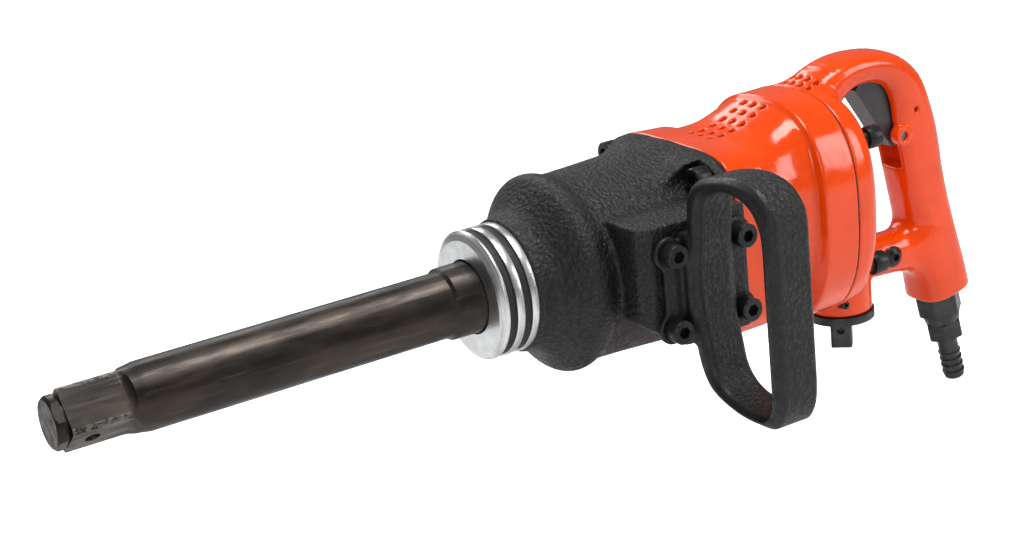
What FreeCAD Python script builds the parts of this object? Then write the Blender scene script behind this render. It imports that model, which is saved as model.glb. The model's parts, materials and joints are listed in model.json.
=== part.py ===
"""Pneumatic impact wrench: long square-drive anvil, D-handle and closed side handle.

Millimetres. The origin is the centre of the anvil's front end face, on the drive axis.
+X points out of the tool, +Y to the operator's left, +Z up. Lengths along the tool are
"stations": distances behind the end face, so a station of 100 lies at X = -100.
"""
import FreeCAD, Part
import Sketcher
import math
import os

Vector = FreeCAD.Vector

# ---------------------------------------------------------------------------- driving sizes
SIZES = {
    # anvil
    "square_across": (25.4, "drive square, flat to flat"),
    "blank_radius": (16.6, "turned blank that leaves the square's rounded corners"),
    "square_turn": (40.3, "angle of the square about the drive axis, degrees"),
    "pin_hole_dia": (8.0, "cross hole for the socket pin"),
    "pin_hole_station": (18.0, "middle of the cross hole"),
    "square_end": (36.0, "where the flats start to run out"),
    "runout_radius": (5.0, "cutter radius at the end of the flats"),
    "neck_start": (41.0, "end of the turned blank"),
    "neck_end": (48.0, "start of the long shaft"),
    "shaft_radius": (17.75, "long anvil shaft"),
    "journal_start": (218.0, "front shoulder of the bearing journal"),
    "journal_radius": (19.5, "bearing journal"),
    "journal_end": (286.4, "front face of the thrust collar"),
    # nose
    "collar_front": (235.0, "front face of the nose collar"),
    "collar_radius": (35.3, "outside of the nose collar"),
    "collar_rear": (257.3, "rear face of the nose collar's rim"),
    "groove_width": (4.6, "width of each collar groove"),
    "groove_radius": (33.0, "bottom of the collar grooves"),
    "spigot_radius": (31.0, "collar spigot in the hammer case"),
    "spigot_length": (4.9, "collar spigot"),
    "nose_bore": (27.05, "radius of the bore for bushing and seal"),
    # hammer case
    "case_rear": (372.6, "rear face of the hammer case"),
    "case_bore": (46.2, "inside radius of the hammer case"),
    "case_radius": (52.3, "outside radius of the hammer case's waist"),
    "case_wall_front": (287.5, "front wall of the hammer chamber"),
    "flange_wide": (55.5, "half width of the front flange"),
    "flange_high": (53.6, "half height of the front flange"),
    "case_bolt_y": (41.0, "front bolts, half spacing across"),
    "case_bolt_z": (43.0, "front bolts, half spacing up and down"),
    "bolt_seat": (365.0, "seat of the front bolts' heads"),
    # side handle and its pad
    "pad_front": (298.0, "front edge of the side pad"),
    "pad_rear": (366.0, "rear edge of the side pad"),
    "pad_top": (35.0, "upper edge of the side pad"),
    "pad_low": (34.0, "depth of the side pad's lower edge"),
    "side_middle": (335.2, "middle of the side handle along the tool"),
    "pad_out": (72.0, "outer face of the side pad"),
    "side_bolt_x": (45.1, "side handle bolts, spacing along the tool"),
    "side_bolt_z": (41.2, "side handle bolts, spacing up and down"),
    "loop_deep": (26.0, "side handle loop along the tool"),
    "loop_reach": (148.5, "outermost face of the side handle"),
    "plate_thick": (3.9, "side handle plate under the screw heads"),
    # motor
    "motor_front": (373.0, "front face of the motor housing"),
    "motor_rear": (459.1, "rear face of the motor housing"),
    "motor_bore": (42.0, "radius of the motor bore"),
    "liner_bore": (34.0, "radius of the cylinder liner's bore"),
    "liner_shift": (4.0, "liner bore above the drive axis"),
    "rotor_radius": (29.8, "rotor body"),
    "rotor_front": (377.0, "front end of the rotor body"),
    "rotor_rear": (441.4, "rear end of the rotor body"),
    "plate_gap": (0.3, "end clearance of the rotor"),
    # rear cover and D-handle
    "cover_front": (459.9, "front face of the rear cover"),
    "cover_rear": (478.6, "rear face of the rear cover"),
    "rear_wide": (54.2, "half width at the gasket"),
    "rear_high": (65.2, "height of the outline above the drive axis"),
    "rear_low": (66.0, "depth of the outline below the drive axis"),
    "rear_bolt_y": (39.0, "rear screws, half spacing across"),
    "rear_bolt_z": (37.5, "rear screws, half spacing up and down"),
    # reverse valve
    "valve_station": (487.5, "reverse valve axis"),
    "valve_boss": (18.9, "radius of the reverse valve's boss"),
    "valve_bottom": (75.8, "depth of the boss's lower face"),
    "valve_disc": (20.05, "radius of the reverse disc"),
    "disc_thick": (5.0, "reverse disc"),
    "spool_radius": (11.0, "reverse spool"),
    "finger_across": (12.6, "square finger block"),
    "finger_long": (18.7, "finger block below the disc"),
    "finger_turn": (-44.0, "finger block about the valve axis, degrees"),
    # trigger and throttle
    "trigger_station": (530.0, "trigger pivot along the tool"),
    "trigger_height": (23.0, "trigger pivot above the drive axis"),
    "trigger_wide": (15.6, "trigger thickness across the tool"),
    "trigger_pin": (2.5, "radius of the trigger pin"),
    "plug_height": (24.5, "passage plug in the back of the grip"),
    "throttle_height": (44.0, "throttle valve axis above the drive axis"),
    # inlet
    "inlet_station": (563.9, "inlet axis at the handle's lower face"),
    "inlet_height": (-85.6, "height of the inlet axis at the lower face"),
    "inlet_lean": (12.3, "lean of the inlet axis, degrees"),
    "hex_across": (24.4, "inlet bushing across its flats"),
    "nut_across": (20.0, "hose nut across its flats"),
    # screws
    "screw_dia": (8.0, "thread of the housing screws"),
    "head_radius": (6.5, "socket head"),
    "head_tall": (7.8, "socket head"),
    "socket_across": (6.0, "hex socket"),
}


class Size:
    """A length that carries its value and the spreadsheet formula that gives it."""

    def __init__(self, value, formula):
        self.value = value
        self.formula = formula

    def _with(self, other, sign, swap=False):
        value = other.value if isinstance(other, Size) else other
        formula = other.formula if isinstance(other, Size) else repr(other)
        first, second = (value, self.value) if swap else (self.value, value)
        left, right = (formula, self.formula) if swap else (self.formula, formula)
        result = {"+": first + second, "-": first - second, "*": first * second,
                  "/": first / second if second else 0.0}[sign]
        return Size(result, f"({left} {sign} {right})")

    def __add__(self, other):
        return self._with(other, "+")

    def __radd__(self, other):
        return self._with(other, "+", swap=True)

    def __sub__(self, other):
        return self._with(other, "-")

    def __rsub__(self, other):
        return self._with(other, "-", swap=True)

    def __mul__(self, other):
        return self._with(other, "*")

    def __rmul__(self, other):
        return self._with(other, "*", swap=True)

    def __truediv__(self, other):
        return self._with(other, "/")

    def __neg__(self):
        return Size(-self.value, f"(-1 * {self.formula})")


class Sizes:
    """Each driving size as an attribute that carries its spreadsheet formula."""

    def __init__(self, table):
        for alias, (value, _note) in table.items():
            setattr(self, alias, Size(value, f"Sizes.{alias}"))


def number(size):
    """The plain value of a Size or a number."""
    return size.value if isinstance(size, Size) else float(size)


# ---------------------------------------------------------------------------- document helpers
doc = FreeCAD.newDocument("impact_wrench")
sheet = doc.addObject("Spreadsheet::Sheet", "Sizes")
for row, (alias, (value, note)) in enumerate(SIZES.items(), start=1):
    sheet.set(f"A{row}", note)
    sheet.set(f"B{row}", str(value))
    sheet.setAlias(f"B{row}", alias)
doc.recompute()
d = Sizes(SIZES)

finished = []


def bind(obj, path, size):
    """Set a property and, for a driving size, bind it to its formula."""
    if hasattr(obj, path):
        setattr(obj, path, number(size))
    if isinstance(size, Size):
        obj.setExpression(path, size.formula)


def place(obj, x=0, y=0, z=0, rotation=None):
    """Place an object, binding each coordinate that is a driving size."""
    turn = rotation or FreeCAD.Rotation()
    obj.Placement = FreeCAD.Placement(Vector(number(x), number(y), number(z)), turn)
    for path, size in (("Placement.Base.x", x), ("Placement.Base.y", y), ("Placement.Base.z", z)):
        if isinstance(size, Size):
            obj.setExpression(path, size.formula)


def aim(direction):
    """Rotation that turns +Z to a direction."""
    return FreeCAD.Rotation(Vector(0, 0, 1), Vector(*direction))


def rod(radius, length, x=0, y=0, z=0, direction=(1, 0, 0)):
    """Cylinder that starts at a point and runs along a direction."""
    obj = doc.addObject("Part::Cylinder", "rod")
    bind(obj, "Radius", radius)
    bind(obj, "Height", length)
    place(obj, x, y, z, aim(direction))
    return obj


def rod_x(radius, front, rear, y=0, z=0):
    """Cylinder along the tool between two stations."""
    return rod(radius, rear - front, -(Size(0, "0") + rear), y, z)


def block(long, wide, tall, x, y, z, rotation=None):
    """Box whose low corner is at a point."""
    obj = doc.addObject("Part::Box", "block")
    bind(obj, "Length", long)
    bind(obj, "Width", wide)
    bind(obj, "Height", tall)
    place(obj, x, y, z, rotation)
    return obj


def fuse(*objects):
    """Union of objects."""
    obj = doc.addObject("Part::MultiFuse", "union")
    obj.Shapes = list(objects)
    return obj


def cut(base, *tools):
    """Base less one tool or several."""
    obj = doc.addObject("Part::Cut", "cut")
    obj.Base = base
    obj.Tool = tools[0] if len(tools) == 1 else fuse(*tools)
    return obj


def common(first, second):
    """Intersection of two objects."""
    obj = doc.addObject("Part::Common", "common")
    obj.Base = first
    obj.Tool = second
    return obj


def group(*objects):
    """Separate solids kept together as one sub-part."""
    obj = doc.addObject("Part::Compound", "group")
    obj.Links = list(objects)
    return obj


def solid(shape, name="solid"):
    """A shape worked out from the sheet's sizes, as an object of the document."""
    obj = doc.addObject("Part::Feature", name)
    obj.Shape = shape
    return obj


def finish(obj, label):
    """Name a sub-part and list it for export."""
    obj.Label = label
    finished.append(obj)
    return obj


def origin_plane(body, role):
    """One of a body's own origin planes."""
    return next(item for item in body.Origin.OriginFeatures if item.Role == role)


def outline_sketch(body, role, corners, offset=0):
    """Closed polygon on an origin plane, each corner bound to its sizes."""
    sketch = body.newObject("Sketcher::SketchObject", "outline")
    sketch.AttachmentSupport = [(origin_plane(body, role), "")]
    sketch.MapMode = "FlatFace"
    sketch.AttachmentOffset = FreeCAD.Placement(Vector(0, 0, number(offset)), FreeCAD.Rotation())
    if isinstance(offset, Size):
        sketch.setExpression("AttachmentOffset.Base.z", offset.formula)
    points = [Vector(number(u), number(v), 0) for u, v in corners]
    count = len(points)
    for index, point in enumerate(points):
        sketch.addGeometry(Part.LineSegment(point, points[(index + 1) % count]), False)
    for index in range(count):
        sketch.addConstraint(Sketcher.Constraint("Coincident", index, 2, (index + 1) % count, 1))
    for index, corner in enumerate(corners):
        for kind, size in zip(("DistanceX", "DistanceY"), corner):
            if number(size) == 0:
                axis = -2 if kind == "DistanceX" else -1
                sketch.addConstraint(Sketcher.Constraint("PointOnObject", index, 1, axis))
                continue
            made = sketch.addConstraint(
                Sketcher.Constraint(kind, -1, 1, index, 1, number(size)))
            if isinstance(size, Size):
                sketch.setExpression(f"Constraints[{made}]", size.formula)
    return sketch


def turned(profile, label=None, y=0, z=0):
    """Body turned about the tool's axis from (station, radius) corners."""
    body = doc.addObject("PartDesign::Body", label or "turned")
    corners = [(-(Size(0, "0") + station), radius) for station, radius in profile]
    sketch = outline_sketch(body, "XZ_Plane", corners)
    turn = body.newObject("PartDesign::Revolution", "turn")
    turn.Profile = sketch
    turn.ReferenceAxis = (sketch, ["H_Axis"])
    turn.Angle = 360
    if y or z:
        place(body, 0, y, z)
    return body


def ring(front, rear, inner, outer, label=None):
    """Plain ring between two stations and two radii."""
    return turned([(front, inner), (front, outer), (rear, outer), (rear, inner)], label)


def padded(role, corners, offset, length, label=None, both=False):
    """Body padded from a polygon on an origin plane."""
    body = doc.addObject("PartDesign::Body", label or "padded")
    sketch = outline_sketch(body, role, corners, offset)
    pad = body.newObject("PartDesign::Pad", "pad")
    pad.Profile = sketch
    bind(pad, "Length", length)
    if both:
        pad.SideType = "Symmetric"
    return body


def rounded(body, radius, pick):
    """Fillet the edges of a body's tip that a test picks."""
    doc.recompute()
    base = body.Tip
    names = [f"Edge{index}" for index, edge in enumerate(base.Shape.Edges, start=1) if pick(edge)]
    fillet = body.newObject("PartDesign::Fillet", "round")
    fillet.Base = (base, names)
    bind(fillet, "Radius", radius)
    doc.recompute()
    return body


def hexagon(across, turn=0.0):
    """Corners of a hexagon by its distance across the flats."""
    reach = across / math.sqrt(3)
    steps = [math.radians(turn + 60 * step) for step in range(6)]
    return [(reach * math.cos(step), reach * math.sin(step)) for step in steps]


def prism(corners, length, x=0, y=0, z=0, direction=(0, 0, 1)):
    """Right prism on plain corners, placed at a point along a direction."""
    points = [Vector(u, v, 0) for u, v in corners]
    face = Part.Face(Part.makePolygon(points + points[:1]))
    shape = face.extrude(Vector(0, 0, number(length)))
    shape.Placement = FreeCAD.Placement(Vector(number(x), number(y), number(z)), aim(direction))
    return shape


def oval(wide, high, low, power, station=None, middle=0.0, count=48):
    """Closed curve |y/wide|^power + |z/high or z/low|^power = 1 about a middle height."""
    points = []
    for step in range(count):
        angle = 2 * math.pi * step / count
        cosine, sine = math.cos(angle), math.sin(angle)
        y = wide * math.copysign(abs(cosine) ** (2 / power), cosine)
        z = (high if sine > 0 else low) * math.copysign(abs(sine) ** (2 / power), sine)
        points.append(Vector(-station, y, z + middle))
    curve = Part.BSplineCurve()
    curve.interpolate(Points=points, PeriodicFlag=True)
    return Part.Wire(curve.toShape())


def lofted(sections, ruled=True):
    """Solid through closed wires."""
    return Part.makeLoft(sections, True, ruled)


def ellipse_wire(x, z, lean, deep, wide, power=2.4, count=32):
    """Cross section of a handle: a rounded oval square to a path in the XZ plane.

    lean is the path's direction, in degrees from -X towards +Z.
    """
    across = Vector(-math.sin(math.radians(lean)), 0, -math.cos(math.radians(lean)))
    points = []
    for step in range(count):
        angle = 2 * math.pi * step / count
        cosine, sine = math.cos(angle), math.sin(angle)
        reach = deep * math.copysign(abs(cosine) ** (2 / power), cosine)
        side = wide * math.copysign(abs(sine) ** (2 / power), sine)
        points.append(Vector(x, 0, z) + across * reach + Vector(0, side, 0))
    curve = Part.BSplineCurve()
    curve.interpolate(Points=points, PeriodicFlag=True)
    return Part.Wire(curve.toShape())


def cap_screw(shank, point, direction, washer=1.6):
    """Socket cap screw: seat at a point, shank along a direction, lock washer under the head."""
    radius, tall = d.head_radius.value, d.head_tall.value
    head = Part.makeCylinder(radius, tall)
    top = [edge for edge in head.Edges if len(edge.Vertexes) == 1 and edge.BoundBox.ZMin > tall / 2]
    head = head.makeChamfer(0.7, top)
    socket = prism(hexagon(d.socket_across.value), 4.4, 0, 0, tall - 4.2)
    body = head.cut(socket)
    split_ring = Part.makeCylinder(radius - 0.2, washer, Vector(0, 0, -washer))
    stem = Part.makeCylinder(d.screw_dia.value / 2, shank + washer, Vector(0, 0, -shank - washer))
    shape = body.fuse([split_ring, stem]).removeSplitter()
    away = Vector(*direction) * -1
    shape.Placement = FreeCAD.Placement(
        Vector(*point) + away * washer, FreeCAD.Rotation(Vector(0, 0, 1), away))
    return shape


def corners_of(across, up):
    """The four sign combinations of a rectangular bolt pattern."""
    return [(a * across, b * up) for a in (1, -1) for b in (1, -1)]


# ---------------------------------------------------------------------------- anvil and nose
def make_anvil():
    """Turned shaft with a milled square, a cross hole and two striking lugs."""
    shaft = turned([
        (0, 0), (0, 12.4), (1.4, 13.8), (5.0, 13.8), (5.0, 11.8), (6.2, 11.8), (6.2, d.blank_radius),
        (d.neck_start, d.blank_radius), (d.neck_end, d.shaft_radius),
        (d.journal_start, d.shaft_radius), (d.journal_start + 1.7, d.journal_radius),
        (d.journal_end, d.journal_radius), (d.journal_end, 24.0), (d.journal_end + 2.6, 24.0),
        (d.journal_end + 2.6, 16.5), (336.0, 16.5), (336.0, 12.0), (345.0, 12.0), (345.0, 0)])
    half = d.square_across / 2
    flats = []
    for step in range(4):
        turn = FreeCAD.Rotation(Vector(1, 0, 0), number(d.square_turn) + 90 * step)
        slab = doc.addObject("Part::Box", "flat")
        bind(slab, "Length", d.square_end + 1)
        slab.Width = 12
        slab.Height = 60
        run = doc.addObject("Part::Cylinder", "runout")
        bind(run, "Radius", d.runout_radius)
        run.Height = 60
        tool = fuse(slab, run)
        place(slab, -d.square_end, half, -30)
        place(run, -d.square_end, half + d.runout_radius, -30)
        place(tool, 0, 0, 0, turn)
        flats.append(tool)
    hole = rod(d.pin_hole_dia / 2, 60, -d.pin_hole_station, 0, 0)
    across = math.radians(number(d.square_turn) - 90)
    way = Vector(0, math.cos(across), math.sin(across))
    hole.Placement = FreeCAD.Placement(
        Vector(-number(d.pin_hole_station), 0, 0) - way * 30, FreeCAD.Rotation(Vector(0, 0, 1), way))
    body = cut(shaft, *flats, hole)
    lugs = [lug(front, rear) for front, rear in ((298.0, 314.0), (319.0, 335.0))]
    return finish(fuse(body, *lugs), "anvil")


def lug(front, rear):
    """One striking lug: a 50 degree sector that stands out of the anvil's core."""
    sector = doc.addObject("Part::Cylinder", "lug")
    sector.Radius = 22.0
    sector.Height = rear - front
    sector.Angle = 50
    turn = FreeCAD.Rotation(Vector(0, 0, 1), Vector(1, 0, 0))
    place(sector, -rear, 0, 0, turn)
    return sector


def make_nose():
    """Bright collar with two black bands, shaft seal, bushing and thrust washer."""
    groove_one = d.collar_front + 4.0
    groove_two = groove_one + d.groove_width * 2
    spigot_rear = d.collar_rear + d.spigot_length
    finish(turned([
        (d.collar_front, 20.3), (d.collar_front, 30.6), (d.collar_front + 0.8, 32.8),
        (d.collar_front + 2.6, d.collar_radius),
        (groove_one, d.collar_radius), (groove_one, d.groove_radius),
        (groove_one + d.groove_width, d.groove_radius), (groove_one + d.groove_width, d.collar_radius),
        (groove_two, d.collar_radius), (groove_two, d.groove_radius),
        (groove_two + d.groove_width, d.groove_radius), (groove_two + d.groove_width, d.collar_radius),
        (d.collar_rear, d.collar_radius), (d.collar_rear, d.spigot_radius),
        (spigot_rear, d.spigot_radius), (spigot_rear, d.nose_bore),
        (240.0, d.nose_bore), (240.0, 20.3)]), "nose_collar")
    bands = [ring(start + 0.05, start + d.groove_width - 0.05, d.groove_radius + 0.05, 34.2)
             for start in (groove_one, groove_two)]
    finish(group(*bands), "collar_bands")
    finish(turned([
        (240.2, 19.62), (240.2, 26.95), (246.7, 26.95), (246.7, 23.5), (242.2, 22.0),
        (242.8, 19.62)]), "shaft_seal")
    finish(ring(247.0, 284.4, d.journal_radius + 0.05, d.nose_bore - 0.05), "anvil_bushing")
    finish(ring(284.5, 286.1, d.journal_radius + 0.4, d.nose_bore - 0.05), "thrust_washer")


# ---------------------------------------------------------------------------- hammer case
FLANGE_POWER = 5.0


def flange_slab(front, rear, inset=0.0):
    """Slab with the front flange's outline, between two stations."""
    sections = [oval(d.flange_wide.value - inset, d.flange_high.value - inset,
                     d.flange_high.value - inset, FLANGE_POWER, station)
                for station in (front, rear)]
    return lofted(sections)


def make_hammer_case():
    """Round shell with a rolled front, a square rear flange, screw pockets and the side pad."""
    front, rear = d.collar_rear, d.case_rear
    shell = turned([
        (front, d.spigot_radius + 0.05), (front, 36.0), (262.0, 37.3), (266.0, 38.4), (270.0, 41.4),
        (275.0, 47.2), (279.0, 52.4), (283.0, 54.8), (287.0, 55.2), (290.0, 54.2), (293.5, 52.4),
        (300.0, d.case_radius), (320.0, d.case_radius + 0.6), (340.0, d.case_radius + 1.6),
        (352.0, d.case_radius + 1.7), (rear, d.case_radius + 1.0),
        (rear, d.nose_bore), (front + d.spigot_length + 0.1, d.nose_bore),
        (front + d.spigot_length + 0.1, d.spigot_radius + 0.05)])
    wide, high = number(d.flange_wide), number(d.flange_high)
    flange = solid(lofted([
        oval(52.0, 52.0, 52.0, 2.0, 338.0), oval(53.8, 52.6, 52.6, 2.5, 352.0),
        oval(wide - 0.5, high - 0.4, high - 0.4, FLANGE_POWER, 363.0),
        oval(wide, high, high, FLANGE_POWER, rear.value)]), "flange")
    pad = padded("XZ_Plane", [
        (-d.pad_front, d.pad_top), (-d.pad_front, -17.0), (-(d.pad_front + 24.0), -d.pad_low),
        (-d.pad_rear, -d.pad_low), (-d.pad_rear, d.pad_top)], -d.pad_out, d.pad_out - 20.0)
    chamfered(pad, 6.0, lambda edge: edge.BoundBox.YMin > number(d.pad_out) - 0.01
              and edge.BoundBox.XMin > -number(d.pad_front) - 25.0
              and edge.BoundBox.ZLength > 5.0)
    chamber = rod_x(d.case_bore, d.case_wall_front, rear + 1)
    pockets = []
    for y, z in corners_of(number(d.case_bolt_y), number(d.case_bolt_z)):
        pockets.append(rod_x(8.2, 340.0, d.bolt_seat, y, z))
        pockets.append(rod_x(d.screw_dia / 2 + 0.25, 350.0, rear + 1, y, z))
    holes = [rod(d.screw_dia / 2 + 0.05, 22, -d.side_middle + x, d.pad_out - 21, z, (0, 1, 0))
             for x, z in corners_of(number(d.side_bolt_x) / 2, number(d.side_bolt_z) / 2)]
    finish(cut(fuse(shell, flange, pad), chamber, *pockets, *holes), "hammer_case")
    gasket = solid(flange_slab(rear.value + 0.05, number(d.motor_front) - 0.05, 0.4), "gasket")
    openings = [rod_x(46.0, rear - 1, rear + 2)]
    for y, z in corners_of(number(d.case_bolt_y), number(d.case_bolt_z)):
        openings.append(rod_x(d.screw_dia / 2 + 0.25, rear - 1, rear + 2, y, z))
    finish(cut(gasket, *openings), "case_gasket")
    seat = -number(d.bolt_seat)
    screws = [solid(cap_screw(20.0, (seat, y, z), (-1, 0, 0)), "screw")
              for y, z in corners_of(number(d.case_bolt_y), number(d.case_bolt_z))]
    finish(group(*screws), "case_screws")


def make_side_handle():
    """Closed loop bar on a four-hole plate, held by four socket screws."""
    outer = [(76.0, -38.0), (76.0, 55.0), (96.0, 65.0), (d.loop_reach, 66.5), (d.loop_reach, -63.5),
             (97.0, -63.5)]
    inner = [(87.0, -34.0), (87.0, 56.5), (d.loop_reach - 11, 56.5), (d.loop_reach - 11, -55.5),
             (103.0, -55.5)]
    start = -(d.side_middle + d.loop_deep / 2)
    loop = padded("YZ_Plane", outer, start, d.loop_deep)
    radii = {(96.0, 65.0): 20.0, (148.5, 66.5): 26.0, (148.5, -63.5): 13.0, (97.0, -63.5): 26.0,
             (76.0, -38.0): 14.0, (76.0, 55.0): 12.0}
    round_corners(loop, radii)
    hole = padded("YZ_Plane", inner, start - 1, d.loop_deep + 2)
    round_corners(hole, {(87.0, 56.5): 16.0, (137.5, 56.5): 17.0, (137.5, -55.5): 7.0,
                         (103.0, -55.5): 18.0, (87.0, -34.0): 20.0})
    bar = cut(loop, hole)
    plate_half = d.side_bolt_x / 2 + 8.4
    plate = block(plate_half * 2, d.plate_thick, d.side_bolt_z + 16,
                  -(d.side_middle + plate_half), d.pad_out + 0.1, -(d.side_bolt_z / 2 + 8))
    rib = block(d.loop_deep + 5, 8.0, 50.0, -(d.side_middle + d.loop_deep / 2 + 2.5), d.pad_out + 0.1,
                -25.0)
    seat = number(d.pad_out) + number(d.plate_thick) + 0.1
    tools = []
    screws = []
    for x, z in corners_of(number(d.side_bolt_x) / 2, number(d.side_bolt_z) / 2):
        place_x = -number(d.side_middle) + x
        tools.append(rod(d.screw_dia / 2 + 0.25, 12, place_x, d.pad_out - 1, z, (0, 1, 0)))
        tools.append(rod(d.head_radius + 0.5, 30, place_x, seat, z, (0, 1, 0)))
        screws.append(solid(cap_screw(16.0, (place_x, seat, z), (0, -1, 0), 0.8), "screw"))
    finish(cut(fuse(bar, plate, rib), *tools), "side_handle")
    finish(group(*screws), "side_handle_screws")


def chamfered(body, size, pick):
    """Chamfer the edges of a body's tip that a test picks."""
    doc.recompute()
    base = body.Tip
    names = [f"Edge{index}" for index, edge in enumerate(base.Shape.Edges, start=1) if pick(edge)]
    bevel = body.newObject("PartDesign::Chamfer", "bevel")
    bevel.Base = (base, names)
    bind(bevel, "Size", size)
    doc.recompute()
    return body


def round_corners(body, radii):
    """Round the pad's edges that stand on given corners, one fillet for each radius."""
    for (u, v), radius in radii.items():
        rounded(body, radius, lambda edge: edge.BoundBox.XLength > 5
                and abs(edge.BoundBox.YMin - u) < 0.02 and abs(edge.BoundBox.YMax - u) < 0.02
                and abs(edge.BoundBox.ZMin - v) < 0.02)


# ---------------------------------------------------------------------------- hammer mechanism
def make_hammers():
    """Cage with two windows, its two pins, and the two hammer dogs that rock on them."""
    barrel = ring(290.0, 348.0, 25.0, 44.0)
    window = turned([(295.0, 0), (295.0, 37.6), (338.0, 37.6), (338.0, 0)])
    sides = [block(43.0, 88.0, 40.0, -338.0, -44.0, z) for z in (18.0, -58.0)]
    rear_web = ring(338.0, 348.0, 12.05, 30.0)
    hub = ring(347.0, 358.0, 8.75, 15.0)
    shell = cut(fuse(barrel, rear_web, hub), window, *sides,
                *[rod_x(5.0, 289.0, 349.0, 0, z) for z in (37.5, -37.5)],
                rod_x(12.05, 338.0, 345.6), rod_x(8.75, 345.0, 359.0))
    finish(shell, "hammer_cage")
    finish(group(*[rod_x(4.95, 290.4, 347.6, 0, z) for z in (37.5, -37.5)]), "hammer_pins")
    for label, front, rear, up in (("front_hammer", 296.0, 316.0, 1), ("rear_hammer", 317.0, 337.0, -1)):
        finish(hammer_dog(front, rear, up), label)


def hammer_dog(front, rear, up):
    """Ring round the anvil with a pivot notch on one pin and a wide notch on the other."""
    dog = rod_x(35.2, front, rear)
    ears = common(rod_x(43.0, front, rear), block(60.0, 34.0, 90.0, -rear - 1, -17.0, -45.0))
    bore = rod_x(25.5, front - 1, rear + 1)
    pivot = rod_x(5.15, front - 1, rear + 1, 0, 37.5 * up)
    pivot_mouth = block(rear - front + 2, 10.3, 10.0, -rear - 1, -5.15, 37.5 if up > 0 else -47.5)
    slot = block(rear - front + 2, 18.0, 20.0, -rear - 1, -9.0, -51.4 if up > 0 else 31.4)
    ring_part = cut(fuse(dog, ears), bore, pivot, pivot_mouth, slot)
    teeth = [common(cut(rod_x(27.0, front, rear), rod_x(23.3, front - 1, rear + 1)),
                    block(rear - front, 60.0, 9.0, -rear, -30.0, -4.5))]
    return fuse(ring_part, *teeth)


# ---------------------------------------------------------------------------- air motor
def make_bearing(name, front, rear, inner, outer, ball_count, ball_radius):
    """Ball bearing as outer race, inner race and a set of balls."""
    middle = (front + rear) / 2
    pitch = (inner + outer) / 2
    wall = (outer - inner) * 0.28
    for label, low, high in ((f"{name}_outer_race", outer - wall, outer),
                             (f"{name}_inner_race", inner, inner + wall)):
        groove = doc.addObject("Part::Torus", "groove")
        groove.Radius1 = pitch
        groove.Radius2 = ball_radius + 0.06
        place(groove, -middle, 0, 0, aim((1, 0, 0)))
        finish(cut(ring(front, rear, low, high), groove), label)
    balls = []
    for step in range(ball_count):
        angle = 2 * math.pi * step / ball_count
        ball = doc.addObject("Part::Sphere", "ball")
        ball.Radius = ball_radius
        place(ball, -middle, pitch * math.cos(angle), pitch * math.sin(angle))
        balls.append(ball)
    finish(group(*balls), f"{name}_balls")


def make_end_plate(label, front, rear, race_front, race_rear, race_radius, shaft_radius):
    """Flat plate that closes the liner and carries a bearing."""
    plate = ring(front, rear, shaft_radius + 0.6, d.motor_bore - 0.05)
    pocket = rod_x(race_radius + 0.05, race_front, race_rear)
    ports = [rod_x(3.2, front - 1, rear + 1, 34.0 * math.cos(angle), 34.0 * math.sin(angle))
             for angle in (math.radians(turn) for turn in (-150, -125, -55, -30))]
    finish(cut(plate, pocket, *ports), label)


def make_motor():
    """Liner, end plates, rotor with six vanes, bearings, dowel and silencer pad."""
    make_end_plate("front_end_plate", 366.8, d.rotor_front - d.plate_gap, 364.0, 375.0, 20.0, 8.5)
    make_end_plate("rear_end_plate", d.rotor_rear + d.plate_gap, 453.6, 443.4, 455.0, 17.5, 7.5)
    liner_front = d.rotor_front - d.plate_gap + 0.05
    liner_rear = d.rotor_rear + d.plate_gap - 0.05
    liner = ring(liner_front, liner_rear, 0.5, d.motor_bore - 0.05)
    bore = rod_x(d.liner_bore, 370.0, 450.0, 0, d.liner_shift)
    outlets = [rod(3.0, 30, -station, 0, 0, (0, math.sin(turn), math.cos(turn)))
               for station in (390.0, 400.0, 410.0, 420.0, 430.0)
               for turn in (math.radians(-28), 0.0, math.radians(28))]
    dowel_hole = rod_x(2.05, 370.0, 450.0, -37.6, -12.5)
    outlets_up = []
    for outlet in outlets:
        outlet.Height = 60
        outlets_up.append(outlet)
    finish(cut(liner, bore, dowel_hole, *outlets_up), "cylinder_liner")
    finish(rod_x(1.95, liner_front + 0.2, liner_rear - 0.2, -37.6, -12.5), "liner_dowel")
    rotor = turned([
        (346.4, 0), (346.4, 8.6), (361.5, 8.6), (361.5, 8.45), (d.rotor_front, 8.45),
        (d.rotor_front, d.rotor_radius), (d.rotor_rear, d.rotor_radius), (d.rotor_rear, 7.45),
        (455.4, 7.45), (455.4, 0)])
    slots = []
    vanes = []
    for step in range(6):
        turn = FreeCAD.Rotation(Vector(1, 0, 0), 60 * step)
        slot = block(d.rotor_rear - d.rotor_front + 2, 3.2, 20.0, -(d.rotor_rear + 1), -1.6, 14.0)
        slot.Placement = FreeCAD.Placement(Vector(), turn).multiply(slot.Placement)
        slot.setExpression("Placement.Base.x", None)
        slots.append(slot)
        vane = block(d.rotor_rear - d.rotor_front - 0.4, 3.0, 15.4, -(d.rotor_rear - 0.2), -1.5, 14.2)
        vane.Placement = FreeCAD.Placement(Vector(), turn).multiply(vane.Placement)
        vane.setExpression("Placement.Base.x", None)
        vanes.append(vane)
    finish(cut(rotor, *slots), "rotor")
    finish(group(*vanes), "rotor_vanes")
    make_bearing("front_bearing", 366.9, 375.9 - 1.0, 8.5, 20.0, 8, 3.1)
    make_bearing("rear_bearing", 443.6, 453.0, 7.5, 17.5, 8, 2.7)


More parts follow.
